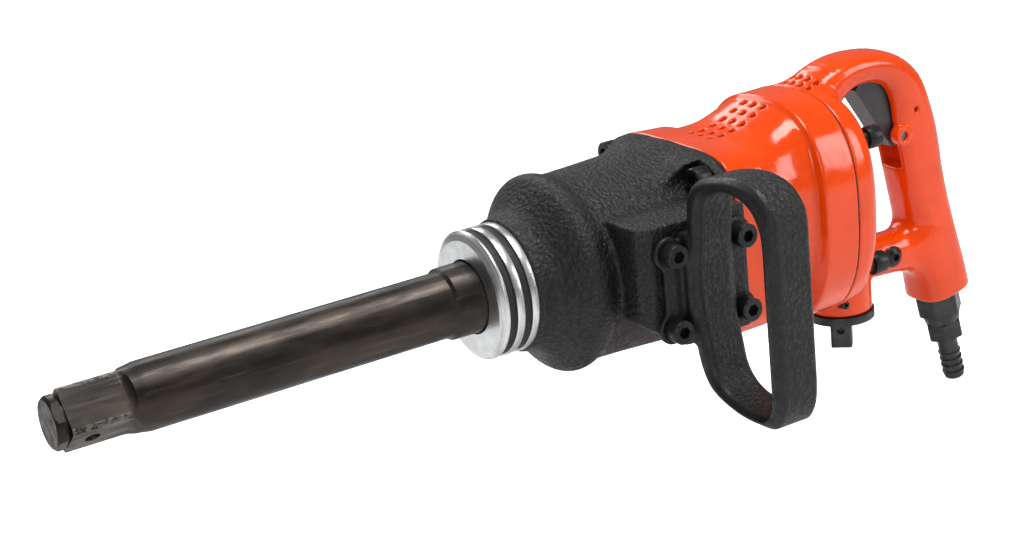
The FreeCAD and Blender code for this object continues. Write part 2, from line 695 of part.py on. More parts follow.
def make_motor_housing():
    """Hollow casting between the two gaskets, with an exhaust chamber under its vents."""
    front, rear = number(d.motor_front), number(d.motor_rear)
    wide, high = number(d.flange_wide), number(d.flange_high)
    outside = lofted([
        oval(wide, high, high, FLANGE_POWER, front), oval(wide - 0.5, high - 1.6, high, FLANGE_POWER, 394.0),
        oval(52.5, 51.6, 51.5, 3.4, 399.0), oval(49.5, 52.8, 49.5, 2.6, 407.0),
        oval(49.5, 55.6, 49.5, 2.5, 418.0), oval(50.5, 59.8, 50.5, 2.5, 428.0),
        oval(52.2, 63.0, 57.0, 2.55, 438.0), lid_outline(445.0, 0.8), lid_outline(449.0, 0.0),
        lid_outline(rear, 0.0)])
    bore = rod_x(d.motor_bore, d.motor_front - 1, d.motor_rear + 1)
    hollow = lofted([oval(24.0, 48.2, 10.0, 2.6, 386.0), oval(24.0, 48.2, 10.0, 2.6, 400.0),
                     oval(25.0, 50.4, 10.0, 2.6, 412.0), oval(25.0, 56.0, 10.0, 2.6, 427.0),
                     oval(25.0, 58.6, 10.0, 2.6, 436.0)])
    roof = solid(hollow.cut(Part.makeCylinder(44.6, 120, Vector(-460, 0, 0), Vector(1, 0, 0)))
                 .cut(Part.makeBox(120, 80, 80, Vector(-460, -40, -80))), "roof")
    ports = solid(Part.makeBox(40, 30, 6, Vector(-428, -15, 40)), "ports")
    vents = [rod(2.2, 30, -station, y, 45, (0, y / 200, 1))
             for station in vent_stations() for y in vent_rows()]
    screw_holes = [rod_x(d.screw_dia / 2 + 0.05, 366.0, 389.0, y, z)
                   for y, z in corners_of(number(d.case_bolt_y), number(d.case_bolt_z))]
    screw_holes += [rod_x(d.screw_dia / 2 + 0.05, 436.0, 461.0, y, z)
                    for y, z in corners_of(number(d.rear_bolt_y), number(d.rear_bolt_z))]
    casting = cut(solid(outside, "outside"), bore, roof, ports, *vents, *screw_holes)
    finish(casting, "motor_housing")
    pad = lofted([oval(24.0, 48.8, 10.0, 2.6, 408.0), oval(24.0, 53.0, 10.0, 2.6, 420.0),
                  oval(24.0, 57.0, 10.0, 2.6, 434.0)])
    pad = pad.cut(Part.makeCylinder(46.5, 120, Vector(-460, 0, 0), Vector(1, 0, 0)))
    pad = pad.cut(Part.makeBox(120, 80, 80, Vector(-460, -40, -80)))
    finish(solid(pad, "pad"), "exhaust_silencer")
    gasket = solid(lofted([lid_outline(station, 0.5)
                           for station in (rear + 0.05, number(d.cover_front) - 0.05)]), "gasket")
    openings = [rod_x(d.motor_bore, rear - 1, rear + 2)]
    for y, z in corners_of(number(d.rear_bolt_y), number(d.rear_bolt_z)):
        openings.append(rod_x(d.screw_dia / 2 + 0.25, rear - 1, rear + 2, y, z))
    finish(cut(gasket, *openings), "rear_gasket")


def lid_outline(station, inset):
    """The rear joint's outline, drawn in by an inset, at a station."""
    middle = 4.0
    return oval(d.rear_wide.value - inset, d.rear_high.value - middle - inset,
                d.rear_low.value + middle - inset, 2.6, station, middle)


def vent_stations():
    """Six columns of vents along the roof."""
    return [393.8 + 7.65 * step for step in range(6)]


def vent_rows():
    """Three rows of vents, the middle one on the mid-plane."""
    return [-8.5, 0.0, 8.5]


# ---------------------------------------------------------------------------- rear cover
def make_rear_cover():
    """Cover, D-handle, strut and valve boss cast in one."""
    front, rear = number(d.cover_front), number(d.cover_rear)
    lid = lofted([lid_outline(station, inset) for station, inset in (
        (front, 0.0), (467.0, 0.0), (472.0, 1.2), (476.0, 4.0), (rear, 8.6))])
    grip = lofted([ellipse_wire(*section) for section in (
        (-466.5, 47.0, 20.0, 12.0, 18.0), (-475.0, 57.5, 30.0, 12.5, 17.4),
        (-490.5, 66.0, 14.0, 9.8, 16.3), (-509.0, 67.4, -8.0, 9.2, 15.8),
        (-525.5, 62.5, -32.0, 10.8, 15.5), (-536.5, 50.0, -62.0, 14.2, 15.2),
        (-542.0, 32.0, -76.0, 16.5, 15.0), (-546.0, 14.0, -79.0, 16.9, 14.8),
        (-549.6, -8.0, -80.0, 16.3, 14.6), (-554.0, -30.0, -79.0, 16.2, 14.8),
        (-558.6, -52.0, -78.0, 16.6, 16.0), (-562.8, -72.0, -78.0, 17.3, 17.0),
        (-565.0, -84.5, -78.0, 17.5, 17.4))], ruled=False)
    strut = lofted([ellipse_wire(*section) for section in (
        (-468.0, -42.0, -3.0, 18.0, 18.0), (-486.0, -46.5, -8.0, 15.5, 16.0),
        (-505.0, -49.5, -8.0, 13.0, 13.0), (-525.0, -51.0, -4.0, 12.6, 12.6),
        (-548.0, -52.0, -2.0, 14.5, 13.2))], ruled=False)
    boss = rod(d.valve_boss, d.valve_bottom - 34, -d.valve_station, 0, -d.valve_bottom, (0, 0, 1))
    spigot = ring(454.0, front + 1, 34.0, d.motor_bore - 0.1)
    body = fuse(solid(lid, "lid"), solid(grip, "grip"), solid(strut, "strut"), boss, spigot)
    axle_x, axle_z = -number(d.trigger_station), number(d.trigger_height)
    slot_half = number(d.trigger_wide) / 2 + 0.5
    slot = padded("XZ_Plane", [(-488.0, 66.5), (-545.5, 66.5), (-545.5, 45.0), (-539.5, 4.0),
                               (-520.0, -4.0), (-500.0, 20.0)], -slot_half, slot_half * 2)
    tools = [slot, rod_x(30.0, front - 6, 470.0),
             rod(14.55, 36.0, -d.valve_station, 0, -d.valve_bottom - 1, (0, 0, 1)),
             rod(d.trigger_pin + 0.05, 60, axle_x, -30, axle_z, (0, 1, 0)),
             rod(6.3, 20.0, -552.4, 0, d.throttle_height, (1, 0, 0)),
             rod(4.5, 14.0, -566.0, 0, d.plug_height, (1, 0, 0)),
             rod(1.6, 60, -540.5, -30, 37.0, (0, 1, 0)),
             rod(5.0, 80.0, -495.0, 0, -48.0, (-1, 0, -0.04)),
             rod(4.05, 12, -518.5, 3, -49.0, (0, 1, 0)),
             rod(2.45, 8.0, -476.2, 13.0, -67.0, (0, 1, 0)),
             rod(2.7, 8.0, -492.0, 0, -42.5, (0, 0, 1))]
    lean = math.radians(number(d.inlet_lean))
    up = Vector(math.sin(lean), 0, math.cos(lean))
    foot = Vector(-number(d.inlet_station), 0, number(d.inlet_height))
    inlet = solid(Part.makeCylinder(9.05, 22, foot - up * 2, up), "thread")
    riser = solid(Part.makeCylinder(6.0, 128, foot, Vector(0.17, 0, 1)), "riser")
    tools += [inlet, riser]
    for y, z in corners_of(number(d.rear_bolt_y), number(d.rear_bolt_z)):
        tools.append(rod_x(d.screw_dia / 2 + 0.25, front - 1, rear + 1, y, z))
        tools.append(rod_x(d.head_radius + 1.2, rear - 0.2, rear + 14, y, z))
    tools += [rod(1.9, 14, -station, y, 58.0, (0, 0, 1)) for station in (463.8, 469.6)
              for y in (-10.5, -3.5, 3.5, 10.5)]
    finish(cut(body, *tools), "rear_cover")
    seat = -rear
    screws = [solid(cap_screw(38.0, (seat, y, z), (1, 0, 0)), "screw")
              for y, z in corners_of(number(d.rear_bolt_y), number(d.rear_bolt_z))]
    finish(group(*screws), "rear_screws")


# ---------------------------------------------------------------------------- small parts
def make_oil_plug():
    """Button-head plug with a hex socket on the strut's left side."""
    head = doc.addObject("Part::Sphere", "dome")
    head.Radius = 8.6
    place(head, -518.5, 8.4, -49.0)
    dome = common(head, rod(6.4, 8.0, -518.5, 13.1, -49.0, (0, 1, 0)))
    stem = rod(4.0, 8.0, -518.5, 5.2, -49.0, (0, 1, 0))
    socket = solid(prism(hexagon(4.0), 4.0, -518.5, 14.4, -49.0, (0, 1, 0)), "socket")
    finish(cut(fuse(dome, stem), socket), "oil_plug")


def make_reverse_valve():
    """Sleeve, spool, knob with disc and finger block, set screw, detent ball and spring."""
    x, bottom = -d.valve_station, -d.valve_bottom
    sleeve = cut(rod(14.5, 33.5, x, 0, bottom + 0.3, (0, 0, 1)),
                 rod(d.spool_radius + 0.05, 36.0, x, 0, bottom - 1, (0, 0, 1)),
                 rod(3.0, 40, x, -20, bottom + 16, (0, 1, 0)),
                 rod(3.0, 20, x, 0, bottom + 26, (1, 0, 0)))
    finish(sleeve, "reverse_sleeve")
    track = doc.addObject("Part::Torus", "track")
    track.Radius1 = 4.5
    track.Radius2 = 2.6
    place(track, x, 0, bottom + 34.5)
    spool = cut(rod(d.spool_radius, 32.0, x, 0, bottom + 0.3, (0, 0, 1)), track,
                block(40, 8.0, 8.0, x - 20, 3.0, bottom + 20),
                block(40, 8.0, 8.0, x - 20, -11.0, bottom + 12))
    finish(spool, "reverse_spool")
    disc = rod(d.valve_disc, d.disc_thick, x, 0, bottom - d.disc_thick - 0.2, (0, 0, 1))
    half = number(d.finger_across) / 2
    finger = padded("XY_Plane", [(-half, -half), (half, -half), (half, half), (-half, half)],
                    -(d.valve_bottom + d.disc_thick + d.finger_long), d.finger_long + 0.5)
    rounded(finger, 1.6, lambda edge: edge.BoundBox.ZLength > 5)
    hole = rod(2.4, 40, 0, -20, -(d.valve_bottom + d.disc_thick + 7.5), (0, 1, 0))
    block_part = cut(finger, hole)
    turn = FreeCAD.Rotation(Vector(0, 0, 1), number(d.finger_turn))
    place(block_part, x, 0, 0, turn)
    finish(fuse(disc, block_part), "reverse_knob")
    grub = cut(rod(2.4, 4.2, -476.2, 14.75, -67.0, (0, 1, 0)),
               solid(prism(hexagon(2.2), 2.0, -476.2, 17.4, -67.0, (0, 1, 0)), "socket"))
    finish(grub, "set_screw")
    ball = doc.addObject("Part::Sphere", "ball")
    ball.Radius = 2.4
    place(ball, x - 4.5, 0, bottom + 34.5)
    finish(ball, "detent_ball")


def trigger_outline():
    """Side view of the trigger: finger face in front, pivot eye low behind."""
    return [(-500.6, 55.6), (-504.5, 61.0), (-524.0, 60.0), (-533.5, 51.0), (-536.2, 26.0),
            (-534.0, 17.0), (-526.0, 16.4)]


def make_trigger():
    """Trigger lever, pivot pin and the small cross pin."""
    half = number(d.trigger_wide) / 2
    lever = padded("XZ_Plane", trigger_outline(), -half, half * 2)
    eye = rod(d.trigger_pin + 0.05, 60, -d.trigger_station, -30, d.trigger_height, (0, 1, 0))
    finish(cut(lever, eye), "trigger")
    finish(rod(d.trigger_pin, 28.0, -d.trigger_station, -14.0, d.trigger_height, (0, 1, 0)),
           "trigger_pin")
    finish(rod(1.55, 24.0, -540.5, -12.0, 37.0, (0, 1, 0)), "stop_pin")


def make_throttle():
    """Throttle sleeve, sliding stem with its seal disc, spring seat and passage plug."""
    z = d.throttle_height
    sleeve = cut(rod(6.25, 5.0, -544.5, 0, z, (1, 0, 0)), rod(2.6, 12.0, -548.0, 0, z, (1, 0, 0)),
                 rod(4.6, 3.1, -544.6, 0, z, (1, 0, 0)), rod(1.65, 24.0, -540.5, -12.0, 37.0, (0, 1, 0)))
    finish(sleeve, "throttle_sleeve")
    stem = fuse(rod(2.5, 8.0, -543.0, 0, z, (1, 0, 0)), rod(4.4, 1.6, -543.6, 0, z, (1, 0, 0)))
    finish(stem, "throttle_stem")
    finish(rod(6.2, 1.6, -552.3, 0, z, (1, 0, 0)), "spring_seat")
    socket = solid(prism(hexagon(4.0), 3.0, -558.1, 0, d.plug_height, (1, 0, 0)), "socket")
    finish(cut(rod(4.45, 5.6, -558.0, 0, d.plug_height, (1, 0, 0)), socket), "grip_plug")


def spring(name, start, direction, length, radius, wire, turns):
    """Coil spring as a swept round wire."""
    helix = Part.makeHelix(length / turns, length, radius)
    circle = Part.Wire(Part.Circle(Vector(radius, 0, 0), Vector(0, 1, 0.12), wire).toShape())
    coil = Part.Wire(helix).makePipeShell([circle], True, True)
    coil.Placement = FreeCAD.Placement(Vector(*start), aim(direction))
    finish(solid(coil, "coil"), name)


def make_inlet():
    """Hex bushing, hose nut with its barb, and the inlet screen, on the leaning axis."""
    lean = math.radians(number(d.inlet_lean))
    down = Vector(-math.sin(lean), 0, -math.cos(lean))
    foot = Vector(-number(d.inlet_station), 0, number(d.inlet_height)) + down * 0.2
    turn = FreeCAD.Placement(foot, FreeCAD.Rotation(Vector(0, 0, 1), down))

    def along(shape, label):
        """Move a shape from the plain +Z axis to the inlet axis."""
        shape.Placement = turn.multiply(shape.Placement)
        return finish(solid(shape), label)

    hexa = prism(hexagon(number(d.hex_across), 22.0), 14.4)
    hexa = hexa.common(Part.makeCylinder(13.6, 14.4))
    collar = Part.makeCone(12.0, 10.6, 5.8, Vector(0, 0, 14.4))
    thread = Part.makeCylinder(9.0, 15.0, Vector(0, 0, -15.0))
    bore = Part.makeCylinder(5.0, 60.0, Vector(0, 0, -20.0))
    seat = Part.makeCylinder(7.05, 10.0, Vector(0, 0, 12.0))
    along(hexa.fuse([collar, thread]).cut(bore).cut(seat).removeSplitter(), "inlet_bushing")
    nut = prism(hexagon(number(d.nut_across), 8.0), 11.4, 0, 0, 20.4)
    nut = nut.common(Part.makeCylinder(11.1, 11.4, Vector(0, 0, 20.4)))
    tail = Part.makeCylinder(6.2, 11.0, Vector(0, 0, 31.8))
    parts = [tail, Part.makeCylinder(7.0, 7.6, Vector(0, 0, 12.8))]
    for step in range(4):
        parts.append(Part.makeCone(7.0, 5.9, 4.6, Vector(0, 0, 42.6 + 4.6 * step)))
    barb = nut.fuse(parts).cut(Part.makeCylinder(3.8, 66.0, Vector(0, 0, 0))).removeSplitter()
    along(barb, "hose_barb")
    screen = Part.makeCylinder(4.9, 7.0, Vector(0, 0, -14.0)).cut(
        Part.makeCylinder(4.3, 7.0, Vector(0, 0, -13.4)))
    along(screen, "inlet_screen")


# ---------------------------------------------------------------------------- build and export
make_anvil()
make_nose()
make_hammer_case()
make_side_handle()
make_hammers()
make_motor()
make_motor_housing()
make_rear_cover()
make_oil_plug()
make_reverse_valve()
spring("detent_spring", (-492.0, 0, -38.3), (0, 0, 1), 3.0, 1.9, 0.3, 3)
make_trigger()
make_throttle()
spring("throttle_spring", (-550.2, 0, d.throttle_height.value), (1, 0, 0), 5.8, 3.5, 0.45, 4)
make_inlet()

doc.recompute()
for item in doc.Objects:
    if {"Invalid", "Error"} & set(item.State):
        raise RuntimeError(f"{item.Name} ({item.Label}) failed to recompute")
for item in finished:
    if item.Shape.isNull() or not item.Shape.isValid():
        raise RuntimeError(f"{item.Label} has no valid shape")
    if not item.Shape.Solids:
        raise RuntimeError(f"{item.Label} has no solid")

os.makedirs("parts", exist_ok=True)
for item in finished:
    item.Shape.exportStep(f"parts/{item.Label}.step")
    box = item.Shape.BoundBox
    print(f"{item.Label:22s} {len(item.Shape.Solids):3d} solids {item.Shape.Volume / 1000:9.2f} cm3  "
          f"X {box.XMin:8.1f} {box.XMax:8.1f}  Y {box.YMin:7.1f} {box.YMax:7.1f}  "
          f"Z {box.ZMin:7.1f} {box.ZMax:7.1f}")
print(len(finished), "sub-parts")
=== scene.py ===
import json

import bmesh
import bpy
import numpy as np
from bpy.props import FloatProperty, FloatVectorProperty, PointerProperty
from mathutils import Matrix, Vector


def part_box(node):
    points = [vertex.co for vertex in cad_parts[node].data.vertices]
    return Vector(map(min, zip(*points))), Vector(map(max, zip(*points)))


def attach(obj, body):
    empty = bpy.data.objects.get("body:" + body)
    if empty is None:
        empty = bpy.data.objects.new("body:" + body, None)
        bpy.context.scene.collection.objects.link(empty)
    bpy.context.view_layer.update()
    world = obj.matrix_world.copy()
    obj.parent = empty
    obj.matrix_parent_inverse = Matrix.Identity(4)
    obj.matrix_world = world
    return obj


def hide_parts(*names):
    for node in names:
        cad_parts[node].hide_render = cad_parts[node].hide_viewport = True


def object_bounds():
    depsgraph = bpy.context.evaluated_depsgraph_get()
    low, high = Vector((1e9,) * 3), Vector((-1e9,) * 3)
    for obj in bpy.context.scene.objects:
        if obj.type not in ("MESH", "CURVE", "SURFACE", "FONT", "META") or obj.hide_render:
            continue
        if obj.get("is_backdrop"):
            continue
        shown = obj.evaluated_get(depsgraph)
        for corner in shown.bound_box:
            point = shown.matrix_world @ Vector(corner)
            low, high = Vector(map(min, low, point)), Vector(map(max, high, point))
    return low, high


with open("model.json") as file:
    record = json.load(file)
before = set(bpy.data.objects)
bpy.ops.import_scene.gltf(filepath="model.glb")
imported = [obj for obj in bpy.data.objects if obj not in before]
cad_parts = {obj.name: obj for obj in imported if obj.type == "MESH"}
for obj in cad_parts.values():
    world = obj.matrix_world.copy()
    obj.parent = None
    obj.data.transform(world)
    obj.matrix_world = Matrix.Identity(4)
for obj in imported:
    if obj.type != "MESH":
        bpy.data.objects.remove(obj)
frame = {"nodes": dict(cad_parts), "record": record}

bl_info = {
    "name": "Impact wrench finish",
    "version": (1, 0, 0),
    "blender": (4, 5, 0),
    "location": "3D View > Sidebar > Wrench",
    "description": "Castings, fittings, finishes and studio of a pneumatic impact wrench",
    "category": "Object",
}

MM = 0.001
HALF_ROOT = 0.7071


# ------------------------------------------------------------------ places read from the frame
def box_mm(node):
    """Lowest and highest corner of a CAD node, in millimetres."""
    low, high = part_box(node)
    return np.array(low) / MM, np.array(high) / MM


def middle_of(node):
    """Middle of a CAD node's box, in millimetres."""
    low, high = box_mm(node)
    return (low + high) / 2


CASE_LOW, CASE_HIGH = box_mm("hammer_case")
MOTOR_LOW, MOTOR_HIGH = box_mm("motor_housing")
COVER_LOW, COVER_HIGH = box_mm("rear_cover")
HANDLE_LOW, HANDLE_HIGH = box_mm("side_handle")
KNOB_HIGH = box_mm("reverse_knob")[1]
CASE_SCREWS_LOW, CASE_SCREWS_HIGH = box_mm("case_screws")
REAR_SCREWS_LOW, REAR_SCREWS_HIGH = box_mm("rear_screws")
SIDE_SCREWS_LOW, SIDE_SCREWS_HIGH = box_mm("side_handle_screws")
TRIGGER_HIGH = box_mm("trigger")[1]

# driving sizes that the boxes don't give, in millimetres
HEAD = 6.5            # radius of a screw head
FLANGE_POWER = 5.0    # squareness of the front flange's outline
FLANGE_HIGH = 53.6    # half height of the front flange
LID_POWER = 2.6       # squareness of the rear joint's outline
LID_MIDDLE = 4.0      # height of the rear joint's middle
LID_THICK = 18.7      # rear cover's lid
RIM = 22.5            # motor housing's rear rim, front to back
BOSS = 18.9           # radius of the valve boss
VENT = 2.1            # radius of an exhaust vent
VENT_PITCH = (7.65, 8.5)
LID_VENT = 1.9        # radius of a vent in the rear cover
LOOP_DEEP = 26.0      # side handle along the tool
LOOP_BEVEL = 3.0      # bevel along the side handle's rims
SMOOTH_RIM = 21.4     # the coating's grain starts this far behind the plate's front
PLATE = 3.9           # thickness of the side handle's plate
PAD_HALF = (35.0, -34.0)
LIP = 6.0             # chamfer along the pad's front
GAP = 0.2             # running clearance under the valve boss


# ------------------------------------------------------------------ distance fields
def union(a, b, blend):
    """The smaller of two distances, with a fillet of about that blend where they meet."""
    share = np.clip(0.5 + 0.5 * (b - a) / blend, 0.0, 1.0)
    return b + (a - b) * share - blend * share * (1.0 - share)


def overlap(a, b, blend):
    """The larger of two distances, with a rounded edge where they meet."""
    return -union(-a, -b, blend)


def carve(a, b, blend):
    """Distance to shape a with shape b cut out of it, with a rounded edge."""
    return -union(-a, b, blend)


def between(place, low, high):
    """Distance to the layer between two planes."""
    return np.abs(place - (low + high) / 2) - (high - low) / 2


def smoothed(points, blur=2.5, step=0.25):
    """A fine table through (place, value...) rows, softened by a bell of that blur."""
    rows = np.array(points, float)
    place = np.arange(rows[0, 0] - 12.0, rows[-1, 0] + 12.0, step)
    reach = np.arange(-3.0 * blur, 3.0 * blur + step, step)
    bell = np.exp(-0.5 * (reach / blur) ** 2)
    bell /= bell.sum()
    columns = []
    for column in rows.T[1:]:
        value = np.interp(place, rows[:, 0], column)
        wide = np.pad(value, len(bell) // 2, mode="edge")
        columns.append(np.convolve(wide, bell, mode="valid")[:len(place)])
    return place, columns


def read(table, place, column=0):
    """Value of a smoothed table's column at each place."""
    return np.interp(place, table[0], table[1][column])


def oval_field(u, v, wide, tall, power):
    """Distance to the rounded oval |u/wide|^power + |v/tall|^power = 1, measured from its middle."""
    reach = np.maximum(np.hypot(u, v), 1e-3)
    size = (np.abs(u / wide) ** power + np.abs(v / tall) ** power) ** (1.0 / power)
    return reach - reach / np.maximum(size, 1e-6)


def rod_field(x, y, z, start, end, radius, blend=0.8):
    """Distance to a round bar between two points with flat ends and softened rims."""
    start, end = np.array(start, float), np.array(end, float)
    long = np.linalg.norm(end - start)
    way = (end - start) / long
    along = (x - start[0]) * way[0] + (y - start[1]) * way[1] + (z - start[2]) * way[2]
    off = [(p - s) - along * w for p, s, w in zip((x, y, z), start, way)]
    side = np.sqrt(off[0] ** 2 + off[1] ** 2 + off[2] ** 2)
    return overlap(side - radius, np.abs(along - long / 2) - long / 2, blend)


def convex_field(u, v, corners, blend):
    """Distance to a convex outline, the softened largest of its sides' distances."""
    corners = np.array(corners, float)
    result = None
    for first, second in zip(corners, np.roll(corners, -1, axis=0)):
        way = (second - first) / np.linalg.norm(second - first)
        side = (u - first[0]) * way[1] - (v - first[1]) * way[0]
        result = side if result is None else overlap(result, side, blend)
    return result


def through(points, steps, closed=False):
    """A smooth curve through points: each span is the cubic whose end slopes are the chords."""
    points = np.array(points, float)
    if closed:
        wide = np.concatenate([points[-1:], points, points[:2]])
    else:
        wide = np.concatenate([2 * points[:1] - points[1:2], points, 2 * points[-1:] - points[-2:-1]])
    a, b, c, d = wide[:-3], wide[1:-2], wide[2:-1], wide[3:]
    t = (np.arange(steps) / steps)[None, :, None]
    a, b, c, d = a[:, None], b[:, None], c[:, None], d[:, None]
    curve = b + 0.5 * t * (c - a + t * (2 * a - 5 * b + 4 * c - d + t * (3 * (b - c) + d - a)))
    curve = curve.reshape(-1, points.shape[1])
    return curve if closed else np.concatenate([curve, points[-1:]])


def outline_field(u, v, curve):
    """Signed distance to a closed outline: nearest side, and inside where sides wind round."""
    u, v = np.broadcast_arrays(u, v)
    nearest = np.full(u.shape, 1e9)
    inside = np.zeros(u.shape, bool)
    for first, second in zip(curve, np.roll(curve, -1, axis=0)):
        way = second - first
        share = ((u - first[0]) * way[0] + (v - first[1]) * way[1]) / (way @ way)
        share = np.clip(share, 0.0, 1.0)
        off = (u - first[0] - share * way[0]) ** 2 + (v - first[1] - share * way[1]) ** 2
        nearest = np.minimum(nearest, off)
        if first[1] != second[1]:
            crossing = (first[1] > v) != (second[1] > v)
            inside ^= crossing & (u < first[0] + (v - first[1]) * way[0] / way[1])
    return np.where(inside, -1.0, 1.0) * np.sqrt(nearest)


def bar_field(x, y, z, sections, power, steps=5):
    """Distance to a bar in the tool's mid-plane.

    Each section row is (x, z, half depth in the plane, half width across). A point's nearest place
    on the smooth line through the sections gives its depth, and the rounded oval there its distance.
    """
    line = through(sections, steps)
    x, z = np.broadcast_arrays(x, z)
    nearest = np.full(x.shape, 1e9)
    offset = np.zeros(x.shape)
    deep = np.ones(x.shape)
    wide = np.ones(x.shape)
    for first, second in zip(line[:-1], line[1:]):
        way = second[:2] - first[:2]
        share = ((x - first[0]) * way[0] + (z - first[1]) * way[1]) / (way @ way)
        share = np.clip(share, 0.0, 1.0)
        dx = x - first[0] - share * way[0]
        dz = z - first[1] - share * way[1]
        square = dx * dx + dz * dz
        closer = square < nearest
        nearest = np.where(closer, square, nearest)
        side = np.sign(dx * way[1] - dz * way[0])
        offset = np.where(closer, np.sqrt(square) * side, offset)
        deep = np.where(closer, first[2] + share * (second[2] - first[2]), deep)
        wide = np.where(closer, first[3] + share * (second[3] - first[3]), wide)
    return oval_field(offset, y, deep, wide, power)


# ------------------------------------------------------------------ from field to mesh
def skin(field, low, high, step):
    """Points and four-sided faces on the surface where a field is zero.

    The field is read on a grid. Each cell that the surface crosses gets one point, the average of
    the crossings on its edges, and each crossed grid edge gets the face of its four cells. Each
    point then moves along the field's slope onto the surface: p - f(p) g / |g|^2.
    """
    axes = [np.arange(a - 2 * step, b + 3 * step, step) for a, b in zip(low, high)]
    x, y, z = np.meshgrid(*axes, indexing="ij", sparse=True)
    shape = tuple(len(axis) for axis in axes)
    value = np.broadcast_to(field(x, y, z), shape).astype(np.float32)
    cells = tuple(size - 1 for size in shape)
    total = np.zeros(cells + (3,), np.float32)
    count = np.zeros(cells, np.float32)
    edges = []
    for axis in range(3):
        across, up = [other for other in range(3) if other != axis]
        turned = np.moveaxis(value, axis, 0)
        before, after = turned[:-1], turned[1:]
        hit = (before < 0) != (after < 0)
        share = np.where(hit, before / np.where(hit, before - after, 1.0), 0.0)
        edges.append((hit, before < 0))
        sums = np.moveaxis(total, axis, 0)
        hits = np.moveaxis(count, axis, 0)
        for du in (0, 1):
            for dv in (0, 1):
                part = (slice(None), slice(du, hit.shape[1] - 1 + du), slice(dv, hit.shape[2] - 1 + dv))
                hits += hit[part]
                sums[..., axis] += share[part]
                sums[..., across] += du * hit[part]
                sums[..., up] += dv * hit[part]
    live = count > 0
    number = np.full(cells, -1)
    number[live] = np.arange(live.sum())
    start = np.array([axis[0] for axis in axes])
    points = (np.argwhere(live) + total[live] / count[live][:, None]) * step + start
    quads = []
    for axis, (hit, below) in enumerate(edges):
        turned = np.moveaxis(number, axis, 0)
        i, j, k = np.nonzero(hit[:, 1:-1, 1:-1])
        quad = np.stack([turned[i, j, k], turned[i, j + 1, k], turned[i, j + 1, k + 1],
                         turned[i, j, k + 1]], axis=1)
        flip = below[i, j + 1, k + 1] == (axis == 1)
        quad[flip] = quad[flip][:, ::-1]
        quads.append(quad)
    return settled(field, points, step), np.concatenate(quads)


def settled(field, points, step, rounds=3):
    """Points moved onto the surface along the field's slope, never more than half a cell a round."""
    reach = 0.05
    for _ in range(rounds):
        x, y, z = points.T
        value = field(x, y, z)
        slope = np.stack([field(x + reach, y, z) - value, field(x, y + reach, z) - value,
                          field(x, y, z + reach) - value], axis=1) / reach
        square = np.maximum((slope ** 2).sum(axis=1), 0.05)
        move = -(value / square)[:, None] * slope
        length = np.maximum(np.linalg.norm(move, axis=1), 1e-9)
        points = points + move * np.minimum(1.0, 0.5 * step / length)[:, None]
    return points


def make_piece(name, points, faces, body, slot, material, *nodes):
    """A finished piece in metres that rides on a body and stands for CAD nodes."""
    mesh = bpy.data.meshes.new(name)
    mesh.from_pydata(points * MM, [], faces)
    mesh.update()
    mesh.shade_smooth()
    piece = bpy.data.objects.new(name, mesh)
    bpy.context.scene.collection.objects.link(piece)
    mesh.materials.append(material)
    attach(piece, body)
    if nodes:
        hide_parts(*nodes)
    return piece


def bevelled_copy(node, body, material, radius):
    """A CAD node's shape again with merged faces and softened edges."""
    source = frame["nodes"][node]
    mesh = source.data.copy()
    shape = bmesh.new()
    shape.from_mesh(mesh)
    bmesh.ops.remove_doubles(shape, verts=shape.verts, dist=2e-6)
    bmesh.ops.dissolve_limit(shape, angle_limit=0.004, verts=shape.verts, edges=shape.edges)
    shape.to_mesh(mesh)
    shape.free()
    mesh.materials.clear()
    mesh.materials.append(material)
    piece = bpy.data.objects.new(f"{node}_finished", mesh)
    piece.data.name = piece.name
    bpy.context.scene.collection.objects.link(piece)
    piece.matrix_world = Matrix.Identity(4)
    bevel = piece.modifiers.new("soft edges", "BEVEL")
    bevel.width = radius * MM
    bevel.segments = 2
    bevel.limit_method = "ANGLE"
    bevel.angle_limit = 0.6
    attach(piece, body)
    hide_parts(node)
    return piece


# ------------------------------------------------------------------ the castings' shapes
# hammer case: distance behind its front rim, radius
CASE_TURNING = smoothed([
    (0.0, 36.0), (1.7, 37.0), (4.7, 37.3), (8.7, 38.4), (12.7, 41.4), (17.7, 47.4), (21.7, 52.6),
    (25.7, 54.9), (29.7, 55.0), (32.7, 54.1), (36.2, 52.5), (42.7, 52.1), (62.7, 52.8),
    (82.7, 53.8), (115.0, 54.0)], 1.6)
# front flange: distance before the case's rear face, half width, half height, power
FLANGE_FLARE = smoothed([
    (-40.0, 51.0, 51.0, 2.0), (-30.0, 52.6, 52.0, 2.2), (-20.0, 54.2, 52.8, 2.8),
    (-11.0, 55.1, 53.3, 4.6), (0.0, 55.5, 53.6, FLANGE_POWER)], 2.0)
# motor housing: distance behind its front face, half width, roof, depth, power above and below
MOTOR_BODY = smoothed([
    (18.0, 51.6, 51.0, 50.0, 4.4, 3.0), (28.0, 50.4, 51.9, 49.6, 3.8, 2.5),
    (35.7, 49.6, 53.0, 49.4, 3.4, 2.4), (42.8, 48.8, 54.7, 49.2, 3.2, 2.3),
    (51.0, 48.4, 58.3, 49.2, 3.0, 2.3), (59.0, 48.6, 61.5, 49.6, 3.0, 2.4),
    (66.0, 49.6, 63.4, 51.6, 2.9, 2.5), (86.0, 52.0, 64.8, 60.0, 2.7, 2.6)], 2.0)
# rear cover: distance behind its front face, inset of the outline
LID_EDGE = smoothed([
    (0.0, 0.0), (7.0, 0.1), (11.0, 0.9), (14.5, 2.8), (17.0, 5.6), (18.7, 9.0), (22.0, 14.0)], 0.9)
